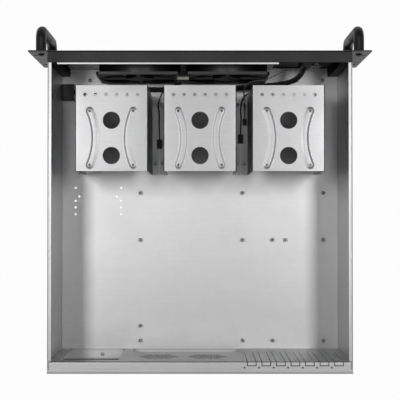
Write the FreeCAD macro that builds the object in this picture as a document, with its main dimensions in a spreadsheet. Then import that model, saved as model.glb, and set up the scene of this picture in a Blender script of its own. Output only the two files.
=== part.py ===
import FreeCAD, Part
import math
import os
import re
import Sketcher

# Empty 4U rackmount server case, lid off. Millimetres, X across, Y from front to rear, Z up.
# The origin is the centre of the rack-ear slots, on the rear face of the front panel.
SIZES = {
    "panel_width": 482.6,        # 19 inch panel
    "panel_height": 177.0,       # 4 rack units less the usual play
    "panel_steel": 2.0,
    "panel_bend": 1.0,
    "panel_corner": 2.0,
    "top_flange": 15.0,          # depth behind the plate
    "bottom_flange": 26.0,
    "flange_width": 427.4,
    "ear_pitch_x": 465.1,
    "ear_pitch_z": 101.6,
    "ear_slot_width": 6.8,
    "ear_slot_length": 10.3,
    "steel": 1.0,                # galvanised sheet
    "bend": 1.0,
    "tray_width": 428.0,
    "lid_step": 3.0,             # the tray's rim stands this far under the panel's top edge
    "tray_front": 0.5,
    "floor_notch": 16.0,         # corner notches of the floor, round the posts
    "floor_notch_rear": 14.5,
    "tray_rear": 449.5,
    "rim_width": 5.5,
    "rim_rear": 433.5,
    "rail_hole": 4.2,
    "rail_drop": 70.5,
    "rail_1": 54.0,
    "rail_2": 134.0,
    "rail_3": 314.0,
    "rail_4": 414.0,
    "psu_foot_hole": 3.5,
    "post_reach": 12.4,
    "post_depth": 14.0,
    "post_steel": 1.2,
    "web_front": 2.0,            # fan bracket
    "strip_rear": 17.2,
    "foot_rear": 26.0,
    "bracket_low": -110.6,
    "bracket_high": 200.4,
    "fan_middle": 24.85,
    "fan_pitch": 128.3,
    "fan_height": -3.5,          # height of the fan axes
    "fan_size": 120.0,
    "fan_depth": 25.0,
    "fan_corner": 5.0,
    "fan_flange": 4.0,
    "fan_duct": 116.4,
    "fan_wall": 1.6,
    "fan_hole": 4.4,
    "fan_hole_pitch": 105.0,
    "fan_hub": 40.0,
    "fan_hub_wall": 1.5,
    "fan_disc": 3.0,
    "fan_strut": 5.0,
    "fan_shaft": 3.0,
    "shaft_play": 0.05,
    "bearing_wall": 2.5,
    "blade_gap": 1.5,
    "blade_thick": 1.6,
    "stator": 31.0,
    "stator_play": 0.05,
    "stator_depth": 10.0,
    "vent_pitch": 12.6,
    "vent_web": 2.4,
    "handle_x": 226.0,
    "handle_pitch": 125.0,
    "handle_bar": 15.0,
    "handle_reach": 39.6,
    "handle_bend": 13.5,
    "cage_width": 103.6,
    "cage_top": 19.7,            # depth of the cage tops under the tray's rim
    "cage_front": 44.8,
    "cage_length": 121.8,
    "cage_pitch": 125.75,
    "cage_foot": 10.5,
    "cage_window": 24.6,
    "cage_window_1": 49.6,
    "cage_window_2": 99.8,
    "cage_row": 13.2,
    "cage_row_pitch": 15.0,
    "cage_row_hole": 5.0,
    "drive_pitch_x": 61.72,
    "drive_pitch_y": 76.6,
    "drive_first": 36.4,
    "drive_hole": 3.5,
    "bead_width": 9.0,
    "bead_rise": 1.0,
    "bead_bulge": 8.0,
    "cage_screw_front": 13.5,
    "cage_screw_rear": 17.8,
    "cage_screw_out": 5.6,
    "bay_pitch": 33.0,
    "bay_low": 22.0,
    "bay_front": 12.0,
    "bay_span": 101.6,
    "bay_hole": 3.4,
    "rear_wall": 434.0,
    "ledge_rear": 445.0,
    "lip_rear": 451.0,
    "lip_drop": 11.0,
    "ledge_end": 2.5,
    "rear_play": 0.3,
    "rear_flange": 14.0,
    "slot_pitch": 20.32,
    "slot_first": -194.3,
    "slot_drop": 128.0,
    "slot_cover": 12.2,
    "slot_cut": 1.2,
    "slot_tab": 5.2,
    "slot_hole": 2.9,
    "slot_hole_y": 440.0,
    "groove_width": 2.4,
    "groove_depth": 0.4,
    "io_middle": 21.15,
    "io_width": 158.75,
    "io_height": 44.45,
    "io_low": 5.0,
    "grille_middle": 25.0,
    "grille_pitch": 70.8,
    "grille_drop": 62.0,
    "grille_hole_pitch": 8.4,
    "grille_web": 1.7,
    "psu_middle": 156.0,
    "psu_width": 82.0,
    "psu_height": 142.0,
    "psu_low": 8.0,
    "psu_corner": 6.0,
    "psu_hole_x": 193.0,
    "psu_hole_drop": 99.0,
    "standoff_height": 6.5,
    "standoff": 6.0,
    "board_thread": 2.5,
    "board_x": 92.0,             # first column of board holes
    "board_y": 194.1,            # first row of board holes
    "screw": 2.9,
    "screw_head": 5.6,
    "screw_head_height": 1.6,
    "screw_length": 3.8,
    "floor_screw_length": 2.0,   # ends flush under the floor
    "flange_screw_length": 3.0,
    "screw_play": 0.2,
    "handle_screw": 4.8,
    "handle_screw_head": 9.0,
    "handle_screw_head_height": 3.0,
    "handle_screw_length": 14.0,
    "control_x": -153.5,
    "control_width": 13.0,
    "control_depth": 12.0,
    "control_low": -24.5,
    "control_high": 75.5,
    "power_z": 58.0,
    "power_cap": 8.8,
    "power_plunger": 10.6,
    "reset_z": 38.0,
    "reset_cap": 4.4,
    "reset_plunger": 6.4,
    "button_out": 1.5,
    "button_play": 0.1,
    "button_gap": 0.3,
    "plunger_rear": 6.3,
    "bore_rear": 9.5,
    "light_z": 24.0,
    "light_pitch": 9.0,
    "light": 2.9,
    "light_out": 0.6,
    "light_rear": 5.0,
    "usb_x": -167.5,
    "usb_board_width": 14.0,
    "usb_board_low": -24.5,
    "usb_board_high": 36.0,
    "usb_board_front": 12.0,
    "usb_board_thick": 1.6,
    "usb_width": 13.1,
    "usb_height": 5.7,
    "usb_wall": 0.4,
    "usb_z": 6.0,
    "usb_pitch": 24.0,
    "usb_spacer": 5.0,
    "clip_width": 17.0,
    "clip_depth": 4.0,
    "clip_height": 8.0,
    "clip_z": 24.0,
    "front_plug_x": 194.0,
    "front_plug_y": 27.0,
    "front_plug_width": 18.0,
    "front_plug_length": 25.0,
    "front_plug_height": 10.0,
    "fan_plug_width": 8.0,
    "fan_plug_length": 14.0,
    "fan_plug_height": 5.5,
    "signal_plug_width": 6.0,
    "signal_plug_length": 10.0,
    "signal_plug_height": 5.0,
    "front_lead": 8.0,
    "fan_lead": 2.4,
    "signal_lead": 2.2,
}

# Board holes: offsets of the columns and rows from the first one, in inches as the standard gives them.
INCH = 25.4
BOARD_COLUMNS = [0.0, 6.2, 8.02, 8.8, 11.1]
BOARD_ROWS = [0.0, 2.85, 8.05, 8.95]
BOARD_HOLES = [(0, 0), (0, 1), (0, 2), (0, 3), (1, 0), (1, 1), (1, 3),
               (2, 1), (2, 3), (3, 1), (4, 0), (4, 1), (4, 3)]
PSU_FOOT_HOLES = [(192.1, 186.4), (192.1, 206.4), (192.1, 216.5), (192.1, 226.9), (186.5, 199.4),
                  (121.8, 186.4), (121.8, 206.4), (121.8, 216.5), (121.8, 226.9), (128.6, 199.4)]
SIDE_SCREW_HEIGHTS = [-60.0, 0.0, 60.0]
FRONT_SCREWS_X = [-190.0, -150.0, -90.0, 24.85, 170.0]
REAR_SCREWS_X = [-150.0, -50.0, 50.0, 150.0]
SLOTS = 7
BLADES = 7
VENT_RINGS = 4
GRILLE_RINGS = 3

doc = FreeCAD.newDocument("ServerCase")
sheet = doc.addObject("Spreadsheet::Sheet", "Dim")
for row, (word, size) in enumerate(SIZES.items(), 1):
    sheet.set(f"A{row}", word)
    sheet.set(f"B{row}", str(size))
    sheet.setAlias(f"B{row}", word)
doc.recompute()

X_AXIS = FreeCAD.Vector(1, 0, 0)
Y_AXIS = FreeCAD.Vector(0, 1, 0)
Z_AXIS = FreeCAD.Vector(0, 0, 1)
AXES = {"X": X_AXIS, "Y": Y_AXIS, "Z": Z_AXIS}

# Levels and planes that several pieces share.
BODY_TOP = "(panel_height/2 - lid_step)"
FLOOR_UNDER = "(-panel_height/2 + panel_steel)"
FLOOR_TOP = "(-panel_height/2 + panel_steel + steel)"
WALL_INSIDE = "(tray_width/2 - steel)"
FAN_FRONT = "(web_front + steel)"
FAN_REAR = "(web_front + steel + fan_depth)"
CAGE_TOP = f"({BODY_TOP} - cage_top)"
FRONT_SCREW_Y = "(foot_rear - 6)"
POST_SCREW_Y = "(post_depth/2)"
REAR_SCREW_Y = "(rear_wall + rear_flange/2 + steel)"

nodes = []


def cell(text):
    """An expression over the sheet's words, as another object of the document needs it."""
    return re.sub(r"[a-z_][a-z_0-9]*", lambda w: "Dim." + w[0] if w[0] in SIZES else w[0], text)


def value(text):
    """The same expression as a number."""
    return float(sheet.evalExpression(text))


def bind(item, **sizes):
    for name, text in sizes.items():
        item.setExpression(name, cell(text))


def put(item, x, y, z):
    item.setExpression("Placement.Base.x", cell(x))
    item.setExpression("Placement.Base.y", cell(y))
    item.setExpression("Placement.Base.z", cell(z))
    return item


def node(item, label):
    item.Label = label
    nodes.append(item)
    return item


def block(x, y, z, name="block"):
    """A box from its low and high expressions on each axis."""
    item = doc.addObject("Part::Box", name)
    bind(item, Length=f"({x[1]})-({x[0]})", Width=f"({y[1]})-({y[0]})", Height=f"({z[1]})-({z[0]})")
    return put(item, x[0], y[0], z[0])


def rod(axis, diameter, x, y, z, length, name="rod"):
    """A cylinder that starts at x, y, z and runs along the axis."""
    item = doc.addObject("Part::Cylinder", name)
    item.Placement = FreeCAD.Placement(FreeCAD.Vector(), FreeCAD.Rotation(Z_AXIS, AXES[axis]))
    bind(item, Radius=f"({diameter})/2", Height=length)
    return put(item, x, y, z)


def hexagon(flats, x, y, z, length):
    """A six-sided punch along Y, with two corners up and down."""
    item = doc.addObject("Part::Prism", "hexagon")
    item.Polygon = 6
    turn = FreeCAD.Rotation(Z_AXIS, Y_AXIS).multiply(FreeCAD.Rotation(Z_AXIS, 30))
    item.Placement = FreeCAD.Placement(FreeCAD.Vector(), turn)
    bind(item, Circumradius=f"({flats})/sqrt(3)", Height=length)
    return put(item, x, y, z)


def slot_punch(x, y, z, length, width, depth):
    """An obround punch along Y, long in X."""
    straight = f"(({length})-({width}))/2"
    middle = block((f"{x}-{straight}", f"{x}+{straight}"), (y, f"{y}+{depth}"),
                   (f"{z}-({width})/2", f"{z}+({width})/2"))
    ends = [rod("Y", width, f"{x}{sign}{straight}", y, z, depth) for sign in "-+"]
    return fuse("slot_punch", [middle] + ends)


def cut(name, base, tools):
    tool = tools[0]
    if len(tools) > 1:
        tool = doc.addObject("Part::Compound", name + "_tools")
        tool.Links = tools
    item = doc.addObject("Part::Cut", name)
    item.Base = base
    item.Tool = tool
    return item


def fuse(name, pieces):
    item = doc.addObject("Part::MultiFuse", name)
    item.Shapes = pieces
    item.Refine = True
    return item


def outline(sketch, corners):
    """A closed outline of lines along the sketch's axes. Each corner is x, y and, for a bend, its
    radius. Every line is tied to its own distance from the origin and every bend to its radius."""
    count = len(corners)
    points = [FreeCAD.Vector(value(c[0]), value(c[1]), 0) for c in corners]
    radii = [value(c[2]) if len(c) > 2 else 0.0 for c in corners]
    ways = [(points[(i + 1) % count] - points[i]).normalize() for i in range(count)]
    entries = [points[i] - ways[i - 1] * radii[i] for i in range(count)]
    leaves = [points[i] + ways[i] * radii[i] for i in range(count)]
    lines = [sketch.addGeometry(Part.LineSegment(leaves[i], entries[(i + 1) % count]))
             for i in range(count)]
    for i in range(count):
        level = abs(ways[i].y) < 0.5
        sketch.addConstraint(Sketcher.Constraint("Horizontal" if level else "Vertical", lines[i]))
        kind, text, size = ("DistanceY", corners[i][1], points[i].y) if level else (
            "DistanceX", corners[i][0], points[i].x)
        tie = sketch.addConstraint(Sketcher.Constraint(kind, -1, 1, lines[i], 1, size))
        sketch.setExpression(f"Constraints[{tie}]", cell(text))
        if not radii[i]:
            sketch.addConstraint(Sketcher.Constraint("Coincident", lines[i - 1], 2, lines[i], 1))
            continue
        centre = points[i] + (ways[i] - ways[i - 1]) * radii[i]
        left = ways[i - 1].cross(ways[i]).z > 0
        first, last = (entries[i], leaves[i]) if left else (leaves[i], entries[i])
        angles = [math.atan2(p.y - centre.y, p.x - centre.x) for p in (first, last)]
        arc = sketch.addGeometry(Part.ArcOfCircle(Part.Circle(centre, Z_AXIS, radii[i]), *angles))
        into, out = (1, 2) if left else (2, 1)
        sketch.addConstraint(Sketcher.Constraint("Tangent", lines[i - 1], 2, arc, into))
        sketch.addConstraint(Sketcher.Constraint("Tangent", lines[i], 1, arc, out))
        tie = sketch.addConstraint(Sketcher.Constraint("Radius", arc, radii[i]))
        sketch.setExpression(f"Constraints[{tie}]", cell(corners[i][2]))


def plane_sketch(body, role, offset):
    """A sketch on one of the body's own origin planes, moved along that plane's normal."""
    sketch = body.newObject("Sketcher::SketchObject", body.Label + "_sketch")
    plane = [f for f in body.Origin.OriginFeatures if f.Role == role][0]
    sketch.AttachmentSupport = (plane, [""])
    sketch.MapMode = "FlatFace"
    sketch.setExpression("AttachmentOffset.Base.z", cell(offset))
    return sketch


def folded(label, role, corners, low, high):
    """A sheet or block with the given section, from low to high along the plane's axis."""
    body = doc.addObject("PartDesign::Body", label)
    towards_minus = role == "XZ_Plane"      # this plane's normal points along -Y
    sketch = plane_sketch(body, role, f"-({low})" if towards_minus else low)
    outline(sketch, corners)
    pad = body.newObject("PartDesign::Pad", label + "_pad")
    pad.Profile = sketch
    pad.Reversed = towards_minus
    bind(pad, Length=f"({high})-({low})")
    return body


def hex_field(rings, pitch):
    """Centres of a hexagonal field: x and z as expressions of the pitch."""
    found = []
    for row in range(-rings, rings + 1):
        across = 2 * rings + 1 - abs(row)
        for step in range(across):
            shift = step - (across - 1) / 2
            found.append((f"({shift}*{pitch})", f"({row}*{pitch}*sqrt(3)/2)"))
    return found


def fan_x(side):
    return f"(fan_middle{side}fan_pitch/2)"


# --- front panel ---------------------------------------------------------------------------------
def make_front_panel():
    top, bottom = "panel_height/2", "-panel_height/2"
    outer, inner = "panel_bend + panel_steel", "panel_bend"
    channel = folded("front_channel", "YZ_Plane", [
        ("-panel_steel", bottom, outer), ("-panel_steel", top, outer), ("top_flange", top),
        ("top_flange", top + " - panel_steel"), ("0", top + " - panel_steel", inner),
        ("0", bottom + " + panel_steel", inner), ("bottom_flange", bottom + " + panel_steel"),
        ("bottom_flange", bottom)], "-flange_width/2", "flange_width/2")
    pieces = [channel]
    for side in (-1, 1):
        root, tip = f"{side}*flange_width/2", f"{side}*panel_width/2"
        pieces.append(folded("front_ear", "XZ_Plane", [
            (root, bottom), (tip, bottom, "panel_corner"), (tip, top, "panel_corner"), (root, top)],
            "-panel_steel", "0"))
    plate = fuse("front_plate", pieces)
    front, through = "-panel_steel - 1", "panel_steel + 2"
    tools = [slot_punch(f"({sx}*ear_pitch_x/2)", f"({front})", f"({sz}*ear_pitch_z/2)",
                        "ear_slot_length", "ear_slot_width", through)
             for sx in (-1, 1) for sz in (-1, 1)]
    tools += [rod("Y", "handle_screw + screw_play", f"{sx}*handle_x", front, f"{sz}*handle_pitch/2",
                  through) for sx in (-1, 1) for sz in (-1, 1)]
    for side in "-+":
        for x, z in hex_field(VENT_RINGS, "vent_pitch"):
            tools.append(hexagon("vent_pitch - vent_web", fan_x(side) + "+" + x, front,
                                 "fan_height+" + z, through))
    tools.append(rod("Y", "power_cap + 2*button_play", "control_x", front, "power_z", through))
    tools.append(rod("Y", "reset_cap + 2*button_play", "control_x", front, "reset_z", through))
    tools += [rod("Y", "light + screw_play", "control_x", front, f"light_z - {i}*light_pitch", through)
              for i in range(3)]
    for side in "-+":
        z = f"usb_z{side}usb_pitch/2"
        tools.append(block(("usb_x - usb_width/2 - screw_play", "usb_x + usb_width/2 + screw_play"),
                           (front, "1"), (f"{z} - usb_height/2 - screw_play",
                                          f"{z} + usb_height/2 + screw_play")))
    tools += [rod("Z", "screw + screw_play", str(x), FRONT_SCREW_Y, "-panel_height/2 - 1", through)
              for x in FRONT_SCREWS_X]
    node(cut("front_panel", plate, tools), "front_panel")


def make_corner_post(side, label):
    root = f"{side}*({WALL_INSIDE} - post_reach)"
    web = f"{side}*{WALL_INSIDE}"
    web_in = f"{side}*({WALL_INSIDE} - post_steel)"
    outer, inner = "post_steel + bend", "bend"
    post = folded("post", "XY_Plane", [
        (root, "0"), (web, "0", outer), (web, "post_depth", outer), (root, "post_depth"),
        (root, "post_depth - post_steel"), (web_in, "post_depth - post_steel", inner),
        (web_in, "post_steel", inner), (root, "post_steel")],
        "-panel_height/2 + panel_steel + panel_bend", f"{BODY_TOP} - steel - bend")
    start = f"{side}*{WALL_INSIDE} - post_steel*{1.5 + 0.5 * side}"
    holes = [rod("X", "screw + screw_play", start, POST_SCREW_Y, str(z), "post_steel*3")
             for z in SIDE_SCREW_HEIGHTS]
    node(cut(label, post, holes), label)


# --- tray ----------------------------------------------------------------------------------------
def make_base_tray():
    side, inside, rim = "tray_width/2", WALL_INSIDE, "(tray_width/2 - rim_width)"
    top, low = BODY_TOP, FLOOR_UNDER
    outer, inner = "bend + steel", "bend"
    tray = folded("tray_blank", "XZ_Plane", [
        ("-" + rim, top), ("-" + side, top, outer), ("-" + side, low, outer), (side, low, outer),
        (side, top, outer), (rim, top), (rim, top + " - steel"), (inside, top + " - steel", inner),
        (inside, low + " + steel", inner), ("-" + inside, low + " + steel", inner),
        ("-" + inside, top + " - steel", inner), ("-" + rim, top + " - steel")],
        "tray_front", "tray_rear")
    fold = (low + " - 1", low + " + steel + bend")
    notch = f"({inside} - floor_notch)"
    tools = [block((f"-{side} - 1", f"{side} + 1"), ("tray_front - 1", "panel_bend + rear_play"), fold),
             block((f"-{side} - 1", "-" + notch), ("tray_front - 1", "floor_notch_rear"), fold),
             block((notch, f"{side} + 1"), ("tray_front - 1", "floor_notch_rear"), fold),
             block(("-" + inside, inside), ("rim_rear", "tray_rear + 1"),
                   (top + " - steel - bend", top + " + 1"))]
    tools += [rod("Z", "psu_foot_hole", str(x), str(y), low + " - 1", "steel + 2")
              for x, y in PSU_FOOT_HOLES]
    through = "steel + 2"
    for wall in ("-" + side + " - 1", side + " - steel - 1"):
        tools += [rod("X", "rail_hole", wall, f"rail_{i}", f"{top} - rail_drop", through)
                  for i in (1, 2, 3, 4)]
        tools += [rod("X", "screw + screw_play", wall, y, str(z), through)
                  for y in (POST_SCREW_Y, REAR_SCREW_Y) for z in SIDE_SCREW_HEIGHTS]
    tools += [rod("Z", "screw + screw_play", str(x), FRONT_SCREW_Y, low + " - 1", through)
              for x in FRONT_SCREWS_X]
    tools += [rod("Z", "screw + screw_play", str(x), REAR_SCREW_Y, low + " - 1", through)
              for x in REAR_SCREWS_X]
    tools += [rod("Z", "screw + screw_play", x, y, low + " - 1", through)
              for x, y in cage_screw_places()]
    node(cut("base_tray", tray, tools), "base_tray")


def make_rear_panel():
    """One sheet: floor flange, wall, lid ledge, lip one sheet higher, and the turned-down rear edge."""
    front, back = "rear_wall", "rear_wall + steel"
    top, low = BODY_TOP, FLOOR_TOP
    outer, inner = "bend + steel", "bend"
    foot = "rear_wall + rear_flange"
    sheet_body = folded("rear_blank", "YZ_Plane", [
        (front, low, outer), (front, top, outer), ("ledge_rear", top), ("ledge_rear", top + " + steel"),
        ("lip_rear", top + " + steel", outer), ("lip_rear", top + " + steel - lip_drop"),
        ("lip_rear - steel", top + " + steel - lip_drop"), ("lip_rear - steel", top, inner),
        ("ledge_rear + steel", top), ("ledge_rear + steel", top + " - steel"),
        (back, top + " - steel", inner), (back, low + " + steel", inner), (foot, low + " + steel"),
        (foot, low)], "-tray_width/2", "tray_width/2")
    wall_end = f"({WALL_INSIDE} - rear_play)"
    pieces = []
    tools = []
    for side in (-1, 1):
        far = f"{side}*(tray_width/2 + 1)"
        for near, y, z in ((wall_end, ("rear_wall - 1", "lip_rear - steel"), (low + " - 1", top)),
                           ("(tray_width/2 - ledge_end)", ("rear_wall - 1", "ledge_rear + steel"),
                            (top + " - steel - bend", top)),
                           (f"({WALL_INSIDE} - bend)", ("rear_wall - 1", foot + " + 1"),
                            (low + " - 1", low + " + steel + bend"))):
            x = (f"{side}*{near}", far) if side > 0 else (far, f"{side}*{near}")
            tools.append(block(x, y, z))
        outside, within = f"{side}*{wall_end}", f"{side}*({wall_end} - steel)"
        x = (within, outside) if side > 0 else (outside, within)
        pieces.append(block(x, (back, foot), (low + " + steel + bend", top + " - lip_drop - 2")))
    blank = fuse("rear_sheet", [cut("rear_trim", sheet_body, tools)] + pieces)
    node(cut("rear_panel", blank, rear_openings(low, top)), "rear_panel")


def rear_openings(low, top):
    y, through = "rear_wall - 1", "steel + 2"
    tools = []
    line_end = "rear_wall + slot_tab"
    for i in range(SLOTS):
        middle = f"(slot_first + {i}*slot_pitch)"
        for side in "-+":
            edge = f"({middle}{side}slot_cover/2)"
            x = (f"{edge} - slot_cut/2", f"{edge} + slot_cut/2")
            tools.append(block(x, (y, line_end), (f"{top} - slot_drop", top + " + 1")))
        tools.append(block((f"{middle} - slot_cover/2 - slot_cut/2", f"{middle} + slot_cover/2 + slot_cut/2"),
                           (line_end, line_end + " + slot_cut"), (top + " - steel - 1", top + " + 1")))
        tools.append(block((f"{middle} - groove_width/2", f"{middle} + groove_width/2"),
                           ("rear_wall - 1", "rear_wall + groove_depth"),
                           (f"{top} - slot_drop + 8", top + " - 8")))
        tools.append(rod("Z", "slot_hole", f"{middle} + slot_pitch/2", "slot_hole_y + 2*slot_cut",
                         top + " - steel - 1", through))
    tools.append(block(("io_middle - io_width/2", "io_middle + io_width/2"), (y, "rear_wall + steel + 1"),
                       (low + " + io_low", low + " + io_low + io_height")))
    left, right = "psu_middle - psu_width/2", "psu_middle + psu_width/2"
    bottom, over = low + " + psu_low", low + " + psu_low + psu_height"
    tools.append(folded("psu_punch", "XZ_Plane", [
        (left, bottom, "psu_corner"), (right, bottom, "psu_corner"), (right, over, "psu_corner"),
        (left, over, "psu_corner")], y, "rear_wall + steel + 1"))
    tools.append(rod("Y", "drive_hole", "psu_hole_x", y, f"{top} - psu_hole_drop", through))
    for side in "-+":
        for x, z in hex_field(GRILLE_RINGS, "grille_hole_pitch"):
            tools.append(hexagon("grille_hole_pitch - grille_web", f"grille_middle{side}grille_pitch/2+" + x,
                                 y, f"{top} - grille_drop + " + z, through))
    tools += [rod("Z", "screw + screw_play", str(x), REAR_SCREW_Y, low + " - 1", through)
              for x in REAR_SCREWS_X]
    for start in (f"-{WALL_INSIDE} - 1", f"{WALL_INSIDE} - steel - 1.5"):
        tools += [rod("X", "screw + screw_play", start, REAR_SCREW_Y, str(z), "steel + 2.5")
                  for z in SIDE_SCREW_HEIGHTS]
    return tools


# --- fan bracket and fans ------------------------------------------------------------------------
def fan_screw_places():
    return [(f"{fan_x(side)}{sx}fan_hole_pitch/2", f"fan_height{sz}fan_hole_pitch/2")
            for side in "-+" for sx in "-+" for sz in "-+"]


def make_fan_bracket():
    top, low = BODY_TOP, FLOOR_TOP
    outer, inner = "bend + steel", "bend"
    channel = folded("bracket_blank", "YZ_Plane", [
        ("web_front", low, outer), ("web_front", top, outer), ("strip_rear", top),
        ("strip_rear", top + " - steel"), (FAN_FRONT, top + " - steel", inner),
        (FAN_FRONT, low + " + steel", inner), ("foot_rear", low + " + steel"), ("foot_rear", low)],
        "bracket_low", "bracket_high")
    y, through = "web_front - 1", "steel + 2"
    tools = [rod("Y", "fan_duct - 2", fan_x(side), y, "fan_height", through) for side in "-+"]
    tools += [rod("Y", "screw + screw_play", x, y, z, through) for x, z in fan_screw_places()]
    tools += [rod("Z", "screw + screw_play", str(x), FRONT_SCREW_Y, low + " - 1", through)
              for x in FRONT_SCREWS_X if x > value("bracket_low")]
    node(cut("fan_bracket", channel, tools), "fan_bracket")


def make_fan_frame(side, label):
    """Two square flanges joined by the duct wall, with four struts that carry the bearing at the rear."""
    x, z, half = fan_x(side), "fan_height", "fan_size/2"
    corners = [(f"{x}-{half}", f"{z}-{half}", "fan_corner"), (f"{x}+{half}", f"{z}-{half}", "fan_corner"),
               (f"{x}+{half}", f"{z}+{half}", "fan_corner"), (f"{x}-{half}", f"{z}+{half}", "fan_corner")]
    flanges = [folded("flange", "XZ_Plane", corners, FAN_FRONT, FAN_FRONT + " + fan_flange"),
               folded("flange", "XZ_Plane", corners, FAN_REAR + " - fan_flange", FAN_REAR)]
    duct = rod("Y", "fan_duct + 2*fan_wall", x, FAN_FRONT, z, "fan_depth")
    shell = fuse("shell", flanges + [duct])
    tools = [rod("Y", "fan_duct", x, FAN_FRONT + " - 1", z, "fan_depth + 2")]
    tools += [rod("Y", "fan_hole", f"{x}{sx}fan_hole_pitch/2", FAN_FRONT + " - 1",
                  f"{z}{sz}fan_hole_pitch/2", "fan_depth + 2") for sx in "-+" for sz in "-+"]
    ring = cut("ring", shell, tools)
    disc_y = FAN_REAR + " - fan_disc"
    disc = rod("Y", "fan_hub", x, disc_y, z, "fan_disc")
    tube_front = FAN_FRONT + " + fan_flange + 2"
    tube = rod("Y", "fan_shaft + 2*shaft_play + 2*bearing_wall", x, tube_front, z,
               f"{FAN_REAR} - fan_disc - ({tube_front})")
    reach = "(fan_duct + fan_wall)/2"
    struts = [block((f"{x}-{reach}", f"{x}+{reach}"), (disc_y, FAN_REAR),
                    (f"{z} - fan_strut/2", f"{z} + fan_strut/2")),
              block((f"{x} - fan_strut/2", f"{x} + fan_strut/2"), (disc_y, FAN_REAR),
                    (f"{z}-{reach}", f"{z}+{reach}"))]
    whole = fuse("fan_body", [ring, disc, tube] + struts)
    bore = rod("Y", "fan_shaft + 2*shaft_play", x, tube_front + " - 1", z,
               f"{FAN_REAR} - 1 - ({tube_front} - 1)")
    node(cut(label, whole, [bore]), label)


def make_fan_stator(side, label):
    """The wound ring round the bearing tube, inside the rotor's cup."""
    x, y = fan_x(side), FAN_REAR + " - fan_disc - stator_depth"
    ring = rod("Y", "stator", x, y, "fan_height", "stator_depth")
    bore = rod("Y", "fan_shaft + 2*shaft_play + 2*bearing_wall + 2*stator_play", x, y + " - 1",
               "fan_height", "stator_depth + 2")
    node(cut(label, ring, [bore]), label)


def blade_section(radius, chord, pitch, skew, thick):
    """A thin cambered strip across the blade at one radius, in the plane square to that radius."""
    along = FreeCAD.Vector(0, math.sin(math.radians(pitch)), math.cos(math.radians(pitch)))
    across = FreeCAD.Vector(0, math.cos(math.radians(pitch)), -math.sin(math.radians(pitch)))
    middle = FreeCAD.Vector(radius, 0, skew)
    camber = across * (chord * 0.09)
    ends = [middle - along * (chord / 2), middle + along * (chord / 2)]
    lower = Part.Arc(ends[0], middle + camber, ends[1]).toShape()
    raised = [p + across * thick for p in ends]
    upper = Part.Arc(raised[1], middle + camber + across * thick, raised[0]).toShape()
    return Part.Wire([lower, Part.makeLine(ends[1], raised[1]), upper, Part.makeLine(raised[0], ends[0])])


def make_fan_rotor(side, label):
    """A cup with its shaft, and swept, twisted blades lofted through three sections."""
    hub, wall, thick = value("fan_hub/2"), value("fan_hub_wall"), value("blade_thick")
    tip = value("fan_duct/2 - blade_gap")
    front, rear = value(FAN_FRONT + " + 1.5"), value(FAN_REAR + " - fan_disc - 1")
    cup = Part.makeCylinder(hub, rear - front, FreeCAD.Vector(0, front, 0), Y_AXIS)
    cup = cup.cut(Part.makeCylinder(hub - wall, rear - front, FreeCAD.Vector(0, front + wall, 0), Y_AXIS))
    shaft = Part.makeCylinder(value("fan_shaft/2"), rear - front - 2 * wall,
                              FreeCAD.Vector(0, front, 0), Y_AXIS)
    span = tip - hub
    blade = Part.makeLoft([blade_section(hub - wall / 2, 19.0, 44.0, 0.0, thick),
                           blade_section(hub + span * 0.5, 26.0, 31.0, 3.0, thick),
                           blade_section(tip, 33.0, 22.0, 9.0, thick)], True, False)
    blade.translate(FreeCAD.Vector(0, (front + rear) / 2, 0))
    blades = [blade.rotated(FreeCAD.Vector(), Y_AXIS, 360.0 * i / BLADES) for i in range(BLADES)]
    swept = Part.makeCompound(blades).common(Part.makeCylinder(tip, 30, FreeCAD.Vector(0, 0, 0), Y_AXIS))
    rotor = doc.addObject("Part::Feature", label)
    rotor.Shape = cup.fuse([shaft] + swept.Solids)
    node(put(rotor, fan_x(side), "0", "fan_height"), label)


# --- drive cages ---------------------------------------------------------------------------------
def cage_x(place):
    return f"({place}*cage_pitch)"


def cage_screw_places():
    """Two screws in each foot."""
    return [(f"({place}*cage_pitch{sx}(cage_width/2 + cage_screw_out))", y)
            for place in (-1, 0, 1) for sx in "-+"
            for y in ("(cage_front + cage_screw_front)", "(cage_front + cage_length - cage_screw_rear)")]


def bead_band(x, sign, z, width, height):
    """A band along an arc through two drive holes that bows towards the middle of the cage."""
    half, bulge = "(drive_pitch_y/2)", "bead_bulge"
    radius = f"(({half}*{half} + {bulge}*{bulge})/(2*{bulge}))"
    middle_y = "(cage_front + drive_first + drive_pitch_y/2)"
    centre_x = f"({x} + {sign}*(drive_pitch_x/2 + {radius} - {bulge}))"
    opening = 2 * math.degrees(math.asin(value(f"{half}/{radius}")))
    sector = doc.addObject("Part::Cylinder", "bead_sector")
    start = (180 if sign > 0 else 0) - opening / 2
    sector.Placement = FreeCAD.Placement(FreeCAD.Vector(), FreeCAD.Rotation(Z_AXIS, start))
    bind(sector, Radius=f"{radius} + ({width})/2", Height=height, Angle=f"2*asin({half}/{radius})")
    put(sector, centre_x, middle_y, z)
    core = rod("Z", f"2*{radius} - ({width})", centre_x, middle_y, z + " - 1", f"({height}) + 2")
    ends = [rod("Z", width, f"{x} + {sign}*drive_pitch_x/2", f"{middle_y}{side}{half}", z, height)
            for side in "-+"]
    return fuse("bead", [cut("bead_arc", sector, [core])] + ends)


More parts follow.
